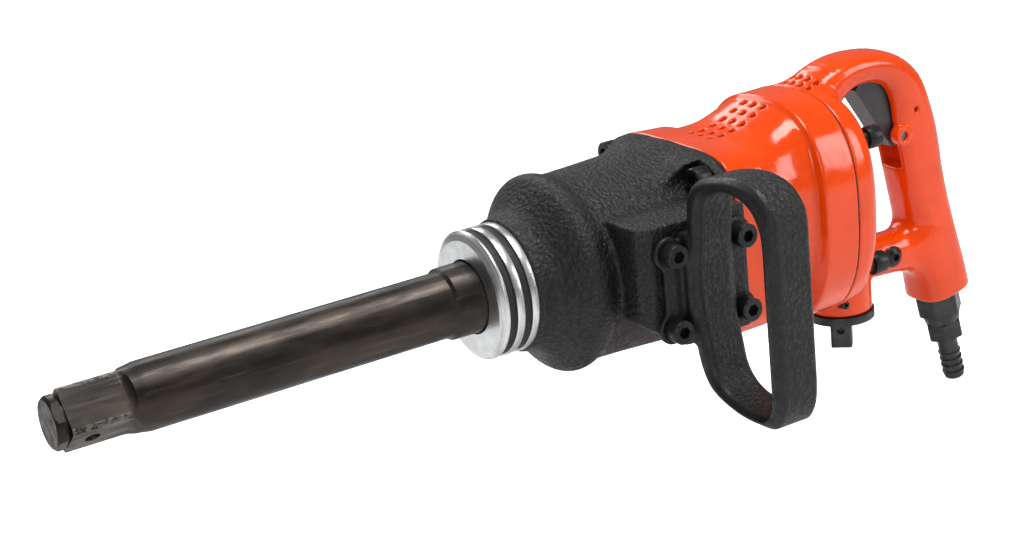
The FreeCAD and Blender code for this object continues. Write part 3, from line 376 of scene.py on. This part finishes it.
# D-handle: x, z, half depth, half width
GRIP = [
    (-466.5, 47.0, 12.0, 18.0), (-475.0, 57.5, 12.5, 17.4), (-490.5, 66.0, 9.8, 16.3),
    (-509.0, 67.4, 9.2, 15.8), (-525.5, 62.5, 10.8, 15.5), (-536.5, 50.0, 14.2, 15.2),
    (-542.0, 32.0, 16.5, 15.0), (-546.0, 14.0, 16.9, 14.8), (-549.6, -8.0, 16.3, 14.6),
    (-554.0, -30.0, 16.2, 14.8), (-558.6, -52.0, 16.6, 16.0), (-562.8, -72.0, 17.3, 17.0),
    (-565.0, -84.5, 17.5, 17.4)]
GRIP_END = (-0.208, -0.978)
STRUT = [
    (-468.0, -42.0, 18.0, 18.0), (-486.0, -46.5, 15.5, 16.0), (-505.0, -49.5, 13.0, 13.0),
    (-525.0, -51.0, 12.6, 12.6), (-548.0, -52.0, 14.5, 13.2)]
TRIGGER_SLOT = [(-488.0, 66.5), (-530.0, 65.5), (-540.0, 54.5), (-545.0, 44.0), (-539.5, 4.0),
                (-520.0, -4.0), (-500.0, 20.0)]
# side handle: y, z round its outside and its inside
LOOP_OUTSIDE = [
    (78.0, 46.0), (81.0, 53.0), (86.0, 58.0), (92.0, 61.0), (100.0, 63.3), (113.0, 65.6),
    (125.0, 65.7), (136.0, 63.0), (143.5, 57.0), (148.0, 48.0), (148.5, 30.0), (148.5, -17.0),
    (148.2, -44.0), (145.5, -55.0), (139.0, -62.2), (127.0, -63.4), (113.0, -63.0), (100.0, -60.0),
    (90.0, -55.5), (84.0, -49.0), (80.0, -40.0), (78.0, -30.0), (77.0, 0.0), (77.0, 30.0)]
LOOP_INSIDE = [
    (84.0, 11.0), (86.0, 25.0), (88.0, 41.0), (92.0, 50.0), (99.0, 54.2), (106.0, 56.6),
    (114.0, 56.8), (123.0, 55.2), (131.0, 51.0), (135.8, 44.0), (137.6, 36.0), (137.7, 12.0),
    (138.0, -44.0), (137.0, -51.0), (134.0, -56.0), (128.5, -58.4), (115.0, -57.2),
    (101.0, -53.0), (93.0, -45.0), (89.6, -32.0), (86.6, -20.0), (84.0, -8.0)]


def four(across, up):
    """The four (y, z) places at plus and minus two distances."""
    return [(a, b) for a in (-across, across) for b in (-up, up)]


def screw_places(low, high):
    """Middles of four equal screws from the corners of their common box, as (y, z)."""
    return four((high[1] - low[1]) / 2 - HEAD, (high[2] - low[2]) / 2 - HEAD)


def case_field(x, y, z):
    """Turned shell, flared flange and side pad, less a scoop in front of each screw."""
    behind = CASE_HIGH[0] - x
    before = CASE_LOW[0] - x
    shell = np.hypot(y, z) - read(CASE_TURNING, behind)
    flare = oval_field(y, z, *[read(FLANGE_FLARE, before, column) for column in range(3)])
    body = union(shell, overlap(flare, x - CASE_LOW[0] - 38.0, 2.0), 2.0)
    pad_front = HANDLE_HIGH[0] + LIP + 0.2
    pad_rear = HANDLE_LOW[0] + 0.1
    pad_out = HANDLE_LOW[1] - 0.1
    high, low = PAD_HALF
    pad = convex_field(x, z, [(pad_rear, high), (pad_rear, low), (pad_front - 24.0, low),
                              (pad_front, low / 2), (pad_front, high)], 2.0)
    lip = (x - pad_front + y - pad_out + LIP) * HALF_ROOT
    pad = overlap(overlap(pad, y - pad_out, 1.6), lip, 1.2)
    pad = overlap(pad, 20.0 - y, 1.0)
    body = union(body, pad, 3.0)
    seat = CASE_SCREWS_LOW[0] + 20.0
    for across, up in screw_places(CASE_SCREWS_LOW, CASE_SCREWS_HIGH):
        scoop = rod_field(x, y, z, (seat, across, up), (seat + 50.0, across * 1.09, up * 1.09), 9.4)
        body = carve(body, scoop, 1.2)
    return overlap(body, between(x, CASE_LOW[0], CASE_HIGH[0]), 1.0)


def lid_field(y, z, inset):
    """The rear joint's outline: an oval about a raised middle, deeper below than above."""
    wide = COVER_HIGH[1] - inset
    tall = np.where(z > LID_MIDDLE, MOTOR_HIGH[2] - LID_MIDDLE, LID_MIDDLE - MOTOR_LOW[2]) - inset
    return oval_field(y, z - LID_MIDDLE, wide, tall, LID_POWER)


def motor_field(x, y, z):
    """Waisted barrel with a rising roof between two flanges, with rows of vents."""
    behind = MOTOR_HIGH[0] - x
    wide, up, low, above, below = [read(MOTOR_BODY, behind, column) for column in range(5)]
    barrel = oval_field(y, z, wide, np.where(z > 0, up, low), np.where(z > 0, above, below))
    drop = 1.5 * np.clip(behind / 21.0, 0.0, 1.0)
    high = np.where(z > 0, FLANGE_HIGH - drop, FLANGE_HIGH)
    flange = oval_field(y, z, MOTOR_HIGH[1], high, FLANGE_POWER)
    flange = overlap(flange, behind - 23.0, 1.2)
    lid = lid_field(y, z, 0.0)
    rear = overlap(lid, x - MOTOR_LOW[0] - RIM + 0.5 * lid, 1.2)
    body = union(union(barrel, flange, 2.5), rear, 2.0)
    along, across = VENT_PITCH
    for column in range(6):
        place = MOTOR_HIGH[0] - 20.8 - along * column
        roof = 52.0 + 0.24 * max(0.0, along * column - 8.0)
        for row in (-across, 0.0, across):
            hole = rod_field(x, y, z, (place, row, roof - 12.0), (place, row, roof + 14.0), VENT)
            body = carve(body, hole, 0.5)
    return overlap(body, between(x, MOTOR_LOW[0], MOTOR_HIGH[0]), 1.0)


def cover_field(x, y, z):
    """Lid, D-handle, strut and valve boss in one casting, with the trigger's slot."""
    front = box_mm("rear_gasket")[0][0]
    behind = front - x
    lid = overlap(lid_field(y, z, read(LID_EDGE, behind)), behind - LID_THICK, 1.6)
    grip = bar_field(x, y, z, GRIP, 2.9)
    end = (x - GRIP[-1][0]) * GRIP_END[0] + (z - GRIP[-1][1]) * GRIP_END[1]
    grip = overlap(grip, end, 1.6)
    strut = bar_field(x, y, z, STRUT, 2.4)
    valve = middle_of("reverse_knob")
    foot = (valve[0], 0.0, KNOB_HIGH[2] + GAP)
    boss = rod_field(x, y, z, foot, (valve[0], 0.0, -38.0), BOSS, 1.4)
    body = union(union(union(lid, grip, 7.0), strut, 10.0), boss, 4.0)
    pivot = middle_of("trigger_pin")
    ring = rod_field(x, y, z, (pivot[0], -15.6, pivot[2]), (pivot[0], 15.6, pivot[2]), 5.8, 1.0)
    body = union(body, ring, 1.5)
    slot = convex_field(x, z, TRIGGER_SLOT, 2.0)
    half = TRIGGER_HIGH[1] + 0.6
    body = carve(body, overlap(slot, np.abs(y) - half, 0.6), 1.2)
    body = carve(body, np.hypot(x - pivot[0], z - pivot[2]) - 2.7, 0.6)
    stop = middle_of("stop_pin")
    body = carve(body, rod_field(x, y, z, (stop[0], -20, stop[2]), (stop[0], 20, stop[2]), 1.7), 0.5)
    for across, up in screw_places(REAR_SCREWS_LOW, REAR_SCREWS_HIGH):
        seat = front - LID_THICK + 0.2
        pocket = rod_field(x, y, z, (seat, across, up), (seat - 16.0, across, up), 7.7, 0.6)
        body = carve(body, pocket, 1.0)
    for place in (front - 3.9, front - 9.7):
        for across in (-10.5, -3.5, 3.5, 10.5):
            hole = rod_field(x, y, z, (place, across, 50.0), (place, across, 82.0), LID_VENT)
            body = carve(body, hole, 0.5)
    plug = middle_of("oil_plug")
    seat = rod_field(x, y, z, (plug[0], 12.6, plug[2]), (plug[0], 24.0, plug[2]), 7.0)
    body = carve(body, seat, 0.8)
    screw = middle_of("set_screw")
    hole = rod_field(x, y, z, (screw[0], 13.0, screw[2]), (screw[0], 24.0, screw[2]), 2.5)
    body = carve(body, hole, 0.6)
    cap = middle_of("grip_plug")
    hole = rod_field(x, y, z, (cap[0] + 3.0, 0.0, cap[2]), (cap[0] - 20.0, 0.0, cap[2]), 4.6)
    body = carve(body, hole, 0.8)
    return overlap(body, x - front, 1.0)


def handle_field(x, y, z):
    """Closed loop with bevelled rims on a plate with four ears."""
    middle = (SIDE_SCREWS_LOW[0] + SIDE_SCREWS_HIGH[0]) / 2
    outside = outline_field(y, z, LOOP_OUTER)
    inside = outline_field(y, z, LOOP_INNER)
    ring = np.maximum(outside, -inside)
    side = np.abs(x - middle) - LOOP_DEEP / 2
    loop = overlap(overlap(ring, side, 0.8), (ring + side + LOOP_BEVEL) * HALF_ROOT, 0.8)
    half_x = (SIDE_SCREWS_HIGH[0] - SIDE_SCREWS_LOW[0]) / 2 - HEAD
    half_z = (SIDE_SCREWS_HIGH[2] - SIDE_SCREWS_LOW[2]) / 2 - HEAD
    floor = HANDLE_LOW[1]
    plate = overlap(np.abs(x - middle) - half_x - 3.5, np.abs(z) - half_z, 3.0)
    for across in (-half_x, half_x):
        for up in (-half_z, half_z):
            plate = union(plate, np.hypot(x - middle - across, z - up) - 8.6, 3.0)
    plate = overlap(plate, between(y, floor, floor + PLATE), 1.4)
    rib = overlap(overlap(np.abs(x - middle) - 15.0, np.abs(z) - 30.0, 3.0),
                  np.abs(y - floor - 4.5) - 4.4, 2.0)
    body = union(union(loop, plate, 4.0), rib, 3.0)
    for across in (-half_x, half_x):
        for up in (-half_z, half_z):
            pocket = rod_field(x, y, z, (middle + across, floor + PLATE, up),
                               (middle + across, floor + PLATE + 30.0, up), 7.3)
            body = carve(body, pocket, 1.0)
    return overlap(body, floor - y, 0.8)


LOOP_OUTER = through(LOOP_OUTSIDE, 4, closed=True)
LOOP_INNER = through(LOOP_INSIDE, 4, closed=True)


# ------------------------------------------------------------------ finishes
class Finish:
    """A node material: helpers add patterns in object space and join them to the shader."""

    def __init__(self, name, colour, metallic, roughness, **sockets):
        self.material = bpy.data.materials.new(name)
        self.material.use_nodes = True
        self.material.diffuse_color = (*colour, 1.0)
        self.tree = self.material.node_tree
        self.shader = self.tree.nodes["Principled BSDF"]
        self.where = self.tree.nodes.new("ShaderNodeTexCoord").outputs["Object"]
        self.put("Base Color", (*colour, 1.0))
        self.put("Metallic", metallic)
        self.put("Roughness", roughness)
        for socket, value in sockets.items():
            self.put(socket.replace("_", " "), value)

    def put(self, socket, value):
        """Give a shader socket a plain value or a pattern."""
        self.give(self.shader.inputs[socket], value)

    def give(self, socket, value):
        """Set or link one socket."""
        if isinstance(value, bpy.types.NodeSocket):
            self.tree.links.new(value, socket)
        else:
            socket.default_value = value

    def node(self, kind, output, inputs, **settings):
        """A new node's output, with its settings and inputs given."""
        node = self.tree.nodes.new(kind)
        for key, value in settings.items():
            setattr(node, key, value)
        for key, value in inputs.items():
            self.give(node.inputs[key], value)
        return node.outputs[output]

    def noise(self, size, stretch=(1.0, 1.0, 1.0), detail=3.0, distortion=0.0):
        """Cloudy pattern with blobs of about that many millimetres."""
        vector = self.node("ShaderNodeMapping", 0, {"Vector": self.where, "Scale": stretch})
        return self.node("ShaderNodeTexNoise", 0, {
            "Vector": vector, "Scale": 1.0 / (size * MM), "Detail": detail, "Distortion": distortion})

    def cells(self, size, stretch=(1.0, 1.0, 1.0)):
        """Distance to the nearest of scattered points, in cells."""
        vector = self.node("ShaderNodeMapping", 0, {"Vector": self.where, "Scale": stretch})
        return self.node("ShaderNodeTexVoronoi", 0, {"Vector": vector, "Scale": 1.0 / (size * MM)})

    def level(self, value, low, high, first=0.0, second=1.0):
        """A value's range carried smoothly onto another."""
        return self.node("ShaderNodeMapRange", 0, {
            "Value": value, "From Min": low, "From Max": high, "To Min": first, "To Max": second},
            interpolation_type="SMOOTHSTEP")

    def maths(self, kind, first, second=0.0):
        """One sum on two values."""
        return self.node("ShaderNodeMath", 0, {0: first, 1: second}, operation=kind)

    def mix(self, share, first, second):
        """Two colours mixed by a pattern."""
        node = self.tree.nodes.new("ShaderNodeMix")
        node.data_type = "RGBA"
        self.give(node.inputs["Factor"], share)
        for key, colour in (("A", first), ("B", second)):
            socket = [item for item in node.inputs if item.name == key and item.type == "RGBA"][0]
            self.give(socket, (*colour, 1.0) if isinstance(colour, tuple) else colour)
        return [item for item in node.outputs if item.type == "RGBA"][0]

    def bump(self, height, depth, under=None):
        """Relief of a pattern, that many millimetres deep, over another relief."""
        inputs = {"Height": height, "Distance": depth * MM}
        if under is not None:
            inputs["Normal"] = under
        return self.node("ShaderNodeBump", 0, inputs)

    def axis(self, index):
        """One coordinate in metres."""
        return self.node("ShaderNodeSeparateXYZ", index, {0: self.where})

    def radius(self):
        """Distance from the drive axis in metres."""
        flat = self.node("ShaderNodeVectorMath", 0, {0: self.where, 1: (0.0, 1.0, 1.0)},
                         operation="MULTIPLY")
        return self.node("ShaderNodeVectorMath", "Value", {0: flat}, operation="LENGTH")

    def attribute(self, name):
        """A point attribute of the piece."""
        return self.node("ShaderNodeAttribute", "Fac", {}, attribute_name=name)


def scaled(colour, factor):
    """A colour made lighter or darker."""
    return tuple(min(1.0, channel * factor) for channel in colour)


def enamel_finish(colour):
    """Thick glossy enamel: orange peel, soft waves, and a little dust in the gloss."""
    finish = Finish("orange_enamel", colour, 0.0, 0.2, Coat_Weight=0.25, Coat_Roughness=0.05,
                    Specular_IOR_Level=0.38)
    tint = finish.level(finish.noise(30.0), 0.35, 0.65)
    finish.put("Base Color", finish.mix(tint, scaled(colour, 0.9), scaled(colour, 1.04)))
    finish.put("Roughness", finish.level(finish.noise(6.0), 0.3, 0.7, 0.12, 0.22))
    waves = finish.bump(finish.noise(12.0, detail=2.0), 0.35)
    peel = finish.bump(finish.noise(2.6, detail=2.0), 0.07, waves)
    finish.put("Normal", peel)
    return finish.material


def wrinkle_finish(colour):
    """Black wrinkle coating: fine raised folds where the piece's grain attribute is one, over a colour
    with painted highlights on the fold crests and painted shade in the cracks.
    """
    finish = Finish("black_coated_case", colour, 0.0, 0.45, Specular_IOR_Level=0.45)
    pebbles = finish.cells(2.6)
    folds = finish.maths("SUBTRACT", finish.noise(1.6, detail=3.0, distortion=0.8),
                         finish.maths("MULTIPLY", pebbles, 0.7))
    grain = finish.attribute("grain")
    # painted light: the base colour is lighter on the fold crests as painted highlights and darker in
    # the cracks as painted shade
    light = finish.level(folds, 0.1, 0.45)
    finish.put("Base Color", finish.mix(light, scaled(colour, 0.55), scaled(colour, 1.5)))
    patch = finish.level(finish.noise(9.0), 0.3, 0.7, 0.0, 0.1)
    finish.put("Roughness", finish.maths("ADD", finish.level(folds, 0.0, 0.4, 0.5, 0.32), patch))
    height = finish.maths("MULTIPLY", folds, grain)
    finish.put("Normal", finish.bump(height, 0.9))
    return finish.material


def turned_finish(colour):
    """Bright turned aluminium: fine rings round the drive axis."""
    finish = Finish("turned_aluminium", colour, 1.0, 0.3)
    place = finish.maths("ADD", finish.axis("X"), finish.radius())
    line = finish.node("ShaderNodeCombineXYZ", 0, {"X": place})
    rings = finish.node("ShaderNodeTexNoise", 0, {"Vector": line, "Scale": 3200.0, "Detail": 2.0})
    smear = finish.level(finish.noise(7.0), 0.35, 0.7)
    finish.put("Base Color", finish.mix(smear, scaled(colour, 0.86), colour))
    finish.put("Roughness", finish.level(rings, 0.3, 0.7, 0.2, 0.42))
    finish.put("Normal", finish.bump(rings, 0.03))
    return finish.material


def forging_finish(colour):
    """Black oxide on steel: streaks along the shaft, brown bloom, and bright rubbed corners."""
    finish = Finish("black_oxide_forging", colour, 0.75, 0.38)
    streak = finish.noise(3.0, (0.06, 1.0, 1.0), 5.0)
    cloud = finish.noise(24.0, (0.6, 1.0, 1.0), 4.0)
    brown = finish.mix(finish.level(cloud, 0.35, 0.7), scaled(colour, 0.7),
                       (colour[0] * 1.6, colour[1] * 1.4, colour[2] * 1.25))
    pale = finish.mix(finish.level(streak, 0.56, 0.74), brown, scaled(colour, 2.0))
    radius = finish.radius()
    corner = finish.level(radius, 15.9 * MM, 16.7 * MM)
    front = finish.level(finish.axis("X"), -38 * MM, -34 * MM)
    scuff = finish.level(finish.noise(2.2, detail=4.0), 0.38, 0.6)
    worn = finish.maths("MULTIPLY", finish.maths("MULTIPLY", corner, front), scuff)
    finish.put("Base Color", finish.mix(worn, pale, (0.15, 0.14, 0.13)))
    finish.put("Roughness", finish.level(finish.noise(5.0, (0.2, 1.0, 1.0)), 0.3, 0.7, 0.27, 0.5))
    scratch = finish.bump(streak, 0.06)
    finish.put("Normal", finish.bump(finish.noise(0.9, detail=3.0), 0.03, scratch))
    return finish.material


def metal_finish(name, colour, metallic, roughness, grain=1.2, depth=0.03):
    """Plain worked metal or plastic: patchy tone and sheen over a fine grain."""
    finish = Finish(name, colour, metallic, roughness)
    patch = finish.level(finish.noise(8.0), 0.3, 0.7)
    fine = finish.noise(grain, detail=3.0)
    finish.put("Base Color", finish.mix(patch, scaled(colour, 0.75), scaled(colour, 1.25)))
    finish.put("Roughness", finish.level(fine, 0.3, 0.7, roughness * 0.8, roughness * 1.25))
    finish.put("Normal", finish.bump(fine, depth))
    return finish.material


# slot: colour, metallic, roughness, grain in mm, relief in mm
PLAIN_FINISHES = {
    "black_oxide_screws": ((0.022, 0.022, 0.024), 0.6, 0.34, 1.0, 0.02),
    "black_rubber": ((0.012, 0.012, 0.012), 0.0, 0.6, 1.4, 0.04),
    "gasket": ((0.02, 0.016, 0.014), 0.0, 0.7, 0.8, 0.03),
    "bronze": ((0.55, 0.36, 0.17), 1.0, 0.3, 1.0, 0.01),
    "hardened_steel": ((0.14, 0.14, 0.145), 1.0, 0.32, 1.0, 0.01),
    "bearing_steel": ((0.72, 0.72, 0.74), 1.0, 0.12, 1.5, 0.004),
    "spring_steel": ((0.5, 0.5, 0.5), 1.0, 0.25, 0.8, 0.01),
    "cast_iron_plates": ((0.3, 0.3, 0.31), 0.8, 0.45, 1.5, 0.04),
    "vane_laminate": ((0.3, 0.2, 0.1), 0.0, 0.55, 1.2, 0.03),
    "silencer_felt": ((0.03, 0.03, 0.03), 0.0, 0.9, 0.6, 0.15),
    "dark_zinc": ((0.045, 0.048, 0.05), 0.75, 0.33, 1.2, 0.03),
    "trigger_coating": ((0.03, 0.03, 0.033), 0.0, 0.36, 1.1, 0.02),
}

finishes = {}


def finish_of(slot_name):
    """The material of a slot, made once."""
    colours = bpy.context.scene.wrench_colours
    if slot_name not in finishes:
        special = {
            "orange_enamel": lambda: enamel_finish(tuple(colours.enamel)),
            "black_coated_case": lambda: wrinkle_finish(tuple(colours.coating)),
            "turned_aluminium": lambda: turned_finish(tuple(colours.collar)),
            "black_oxide_forging": lambda: forging_finish(tuple(colours.anvil)),
        }
        if slot_name in special:
            finishes[slot_name] = special[slot_name]()
        else:
            finishes[slot_name] = metal_finish(slot_name, *PLAIN_FINISHES[slot_name])
    return finishes[slot_name]


SLOT_OF = {row["node"]: row["material_slot"] for row in frame["record"]["subparts"]}
BODY_OF = {node: body for body, nodes in frame["record"]["behaviour"]["bodies"].items()
           for node in nodes}


def coat(node):
    """Give a CAD node the finish of its slot."""
    part = frame["nodes"][node]
    part.data.materials.clear()
    part.data.materials.append(finish_of(SLOT_OF[node]))


def cast(name, field, low, high, node, grain=None, finer=1.0):
    """A casting's skin in place of its CAD node."""
    step = bpy.context.scene.wrench_sizes.cell / MM * finer
    points, faces = skin(field, low, high, step)
    piece = make_piece(name, points, faces, BODY_OF[node], SLOT_OF[node], finish_of(SLOT_OF[node]), node)
    if grain is not None:
        layer = piece.data.attributes.new("grain", "FLOAT", "POINT")
        layer.data.foreach_set("value", grain(points).astype(np.float32))
    return piece


# ------------------------------------------------------------------ settings
class WrenchSizes(bpy.types.PropertyGroup):
    """Sizes that a user may change."""

    cell: FloatProperty(name="Casting cell", description="Grid cell of the castings' skins",
                        default=1.1 * MM, min=0.5 * MM, unit="LENGTH")
    edge: FloatProperty(name="Edge radius", description="Softening of machined edges",
                        default=0.35 * MM, min=0.0, unit="LENGTH")


class WrenchColours(bpy.types.PropertyGroup):
    """Colours that a user may change."""

    enamel: FloatVectorProperty(name="Enamel", description="Motor housing and rear cover",
                                default=(0.84, 0.062, 0.0), subtype="COLOR", min=0, max=1)
    coating: FloatVectorProperty(name="Coating", description="Hammer case and side handle",
                                 default=(0.007, 0.007, 0.0073), subtype="COLOR", min=0, max=1)
    collar: FloatVectorProperty(name="Collar", description="Turned nose collar",
                                default=(0.8, 0.81, 0.82), subtype="COLOR", min=0, max=1)
    anvil: FloatVectorProperty(name="Anvil", description="Oxide on the anvil",
                               default=(0.035, 0.031, 0.028), subtype="COLOR", min=0, max=1)


# ------------------------------------------------------------------ operators
class WRENCH_OT_inside(bpy.types.Operator):
    """Give every CAD node the finish of its material slot"""

    bl_idname = "wrench.inside"
    bl_label = "CAD finishes"

    def execute(self, context):
        for node in frame["nodes"]:
            coat(node)
        return {"FINISHED"}


class WRENCH_OT_hammer_case(bpy.types.Operator):
    """Cast hammer case with its rolled front, flange, scoops and side pad"""

    bl_idname = "wrench.hammer_case"
    bl_label = "Hammer case"

    def execute(self, context):
        cast("hammer_case_casting", case_field, CASE_LOW, CASE_HIGH, "hammer_case",
             lambda points: np.ones(len(points)))
        return {"FINISHED"}


class WRENCH_OT_side_handle(bpy.types.Operator):
    """Closed side handle on its four-eared plate"""

    bl_idname = "wrench.side_handle"
    bl_label = "Side handle"

    def execute(self, context):
        front = HANDLE_HIGH[0] - SMOOTH_RIM
        cast("side_handle_casting", handle_field, HANDLE_LOW, HANDLE_HIGH, "side_handle",
             lambda points: np.clip((front - points[:, 0]) / 1.5, 0.0, 1.0))
        return {"FINISHED"}


class WRENCH_OT_motor_housing(bpy.types.Operator):
    """Enamelled motor housing with its exhaust vents"""

    bl_idname = "wrench.motor_housing"
    bl_label = "Motor housing"

    def execute(self, context):
        cast("motor_housing_casting", motor_field, MOTOR_LOW, MOTOR_HIGH, "motor_housing", finer=0.8)
        return {"FINISHED"}


class WRENCH_OT_rear_cover(bpy.types.Operator):
    """Enamelled rear cover with the D-handle, strut and valve boss"""

    bl_idname = "wrench.rear_cover"
    bl_label = "Rear cover and D-handle"

    def execute(self, context):
        cast("rear_cover_casting", cover_field, COVER_LOW, COVER_HIGH, "rear_cover")
        return {"FINISHED"}


class WRENCH_OT_fittings(bpy.types.Operator):
    """Anvil, collar, screws, valve, trigger and inlet with softened edges"""

    bl_idname = "wrench.fittings"
    bl_label = "Machined fittings"

    def execute(self, context):
        edge = context.scene.wrench_sizes.edge / MM
        for node in ("anvil", "nose_collar", "collar_bands", "case_screws", "side_handle_screws",
                     "rear_screws", "oil_plug", "reverse_knob", "trigger", "inlet_bushing",
                     "hose_barb"):
            bevelled_copy(node, BODY_OF[node], finish_of(SLOT_OF[node]), edge)
        return {"FINISHED"}


class WRENCH_OT_studio(bpy.types.Operator):
    """Pale floor, soft boxes, pale surroundings and the camera"""

    bl_idname = "wrench.studio"
    bl_label = "Studio"

    def execute(self, context):
        make_floor()
        make_lights()
        make_surroundings()
        make_camera()
        return {"FINISHED"}


def make_floor():
    """A wide pale sheet just under the tool."""
    low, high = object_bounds()
    mesh = bpy.data.meshes.new("floor")
    half = 8.0
    corners = np.array([(-half, -half), (half, -half), (half, half), (-half, half)])
    points = np.column_stack([corners, np.full(4, low[2] - 0.0005)])
    mesh.from_pydata(points, [], [(0, 1, 2, 3)])
    floor = bpy.data.objects.new("floor", mesh)
    bpy.context.scene.collection.objects.link(floor)
    finish = Finish("floor_paper", (0.9, 0.9, 0.9), 0.0, 0.9, Specular_IOR_Level=0.0)
    finish.put("Base Color", finish.mix(finish.noise(400.0), (0.88, 0.88, 0.88), (0.92, 0.92, 0.92)))
    path = finish.tree.nodes.new("ShaderNodeLightPath")
    glow = finish.level(path.outputs["Is Camera Ray"], 0.0, 1.0, 0.0, 0.85)
    finish.put("Emission Color", (1.0, 1.0, 1.0, 1.0))
    finish.put("Emission Strength", glow)
    mesh.materials.append(finish.material)
    floor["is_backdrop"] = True


def make_lights():
    """Large soft boxes: overhead, front left, rear right and low fill."""
    middle = np.array([-0.3, 0.03, 0.0])
    for name, place, size, power in (
            ("overhead", (-0.4, 0.25, 1.3), (0.9, 0.5), 17.0),
            ("front_left", (0.6, 1.3, 0.5), (0.4, 0.6), 4.0),
            ("rear_left", (-1.3, 0.9, 0.5), (0.35, 0.8), 5.5),
            ("far_side", (-0.3, -1.2, 0.8), (1.4, 0.4), 7.0)):
        light = bpy.data.lights.new(name, "AREA")
        light.shape = "RECTANGLE"
        light.size, light.size_y = size
        light.energy = power
        lamp = bpy.data.objects.new(name, light)
        bpy.context.scene.collection.objects.link(lamp)
        back = np.array(place) - middle
        back /= np.linalg.norm(back)
        right = np.cross((0.0, 0.0, 1.0), back)
        right /= np.linalg.norm(right)
        lamp.matrix_world = standing(place, right, np.cross(back, right), back)


def standing(place, right, up, back):
    """Matrix of an object at a place that faces away from its back direction."""
    rows = [(right[i], up[i], back[i], place[i]) for i in range(3)]
    return Matrix(rows + [(0.0, 0.0, 0.0, 1.0)])


def make_surroundings():
    """Pale even surroundings, brighter where they are seen directly."""
    world = bpy.data.worlds.new("pale_room")
    bpy.context.scene.world = world
    world.use_nodes = True
    tree = world.node_tree
    background = tree.nodes["Background"]
    background.inputs["Color"].default_value = (1.0, 1.0, 1.0, 1.0)
    path = tree.nodes.new("ShaderNodeLightPath")
    strength = tree.nodes.new("ShaderNodeMapRange")
    strength.inputs["To Min"].default_value = 0.2
    strength.inputs["To Max"].default_value = 1.05
    tree.links.new(path.outputs["Is Camera Ray"], strength.inputs["Value"])
    tree.links.new(strength.outputs[0], background.inputs["Strength"])


def make_camera():
    """Camera in front and to the left of the tool, a little above it."""
    camera = bpy.data.cameras.new("camera")
    camera.lens = 74.31
    camera.sensor_width = 36.0
    camera.clip_end = 50.0
    body = bpy.data.objects.new("camera", camera)
    bpy.context.scene.collection.objects.link(body)
    body.matrix_world = standing((0.28161, 0.91848, 0.36677), (-0.83827, 0.5362, -0.09894),
                                 (-0.25115, -0.21866, 0.94293), (0.48397, 0.81528, 0.31796))
    bpy.context.scene.camera = body
    bpy.context.scene.view_settings.view_transform = "Standard"


class WRENCH_PT_panel(bpy.types.Panel):
    """Lists the wrench's pieces"""

    bl_idname = "WRENCH_PT_panel"
    bl_label = "Impact wrench"
    bl_space_type = "VIEW_3D"
    bl_region_type = "UI"
    bl_category = "Wrench"

    def draw(self, context):
        for group in (context.scene.wrench_sizes, context.scene.wrench_colours):
            for name in type(group).__annotations__:
                self.layout.prop(group, name)
        for operator in OPERATORS:
            self.layout.operator(operator.bl_idname)


OPERATORS = (WRENCH_OT_studio, WRENCH_OT_inside, WRENCH_OT_hammer_case, WRENCH_OT_side_handle,
             WRENCH_OT_motor_housing, WRENCH_OT_rear_cover, WRENCH_OT_fittings)
CLASSES = (WrenchSizes, WrenchColours) + OPERATORS + (WRENCH_PT_panel,)


def register():
    """Add the classes and the scene's settings."""
    for item in CLASSES:
        bpy.utils.register_class(item)
    bpy.types.Scene.wrench_sizes = PointerProperty(type=WrenchSizes)
    bpy.types.Scene.wrench_colours = PointerProperty(type=WrenchColours)


def unregister():
    """Remove the settings and the classes."""
    del bpy.types.Scene.wrench_colours
    del bpy.types.Scene.wrench_sizes
    for item in reversed(CLASSES):
        bpy.utils.unregister_class(item)


def main():
    """Make every piece in order."""
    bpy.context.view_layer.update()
    register()
    for operator in OPERATORS:
        group, name = operator.bl_idname.split(".")
        getattr(getattr(bpy.ops, group), name)()


if __name__ == "__main__":
    main()
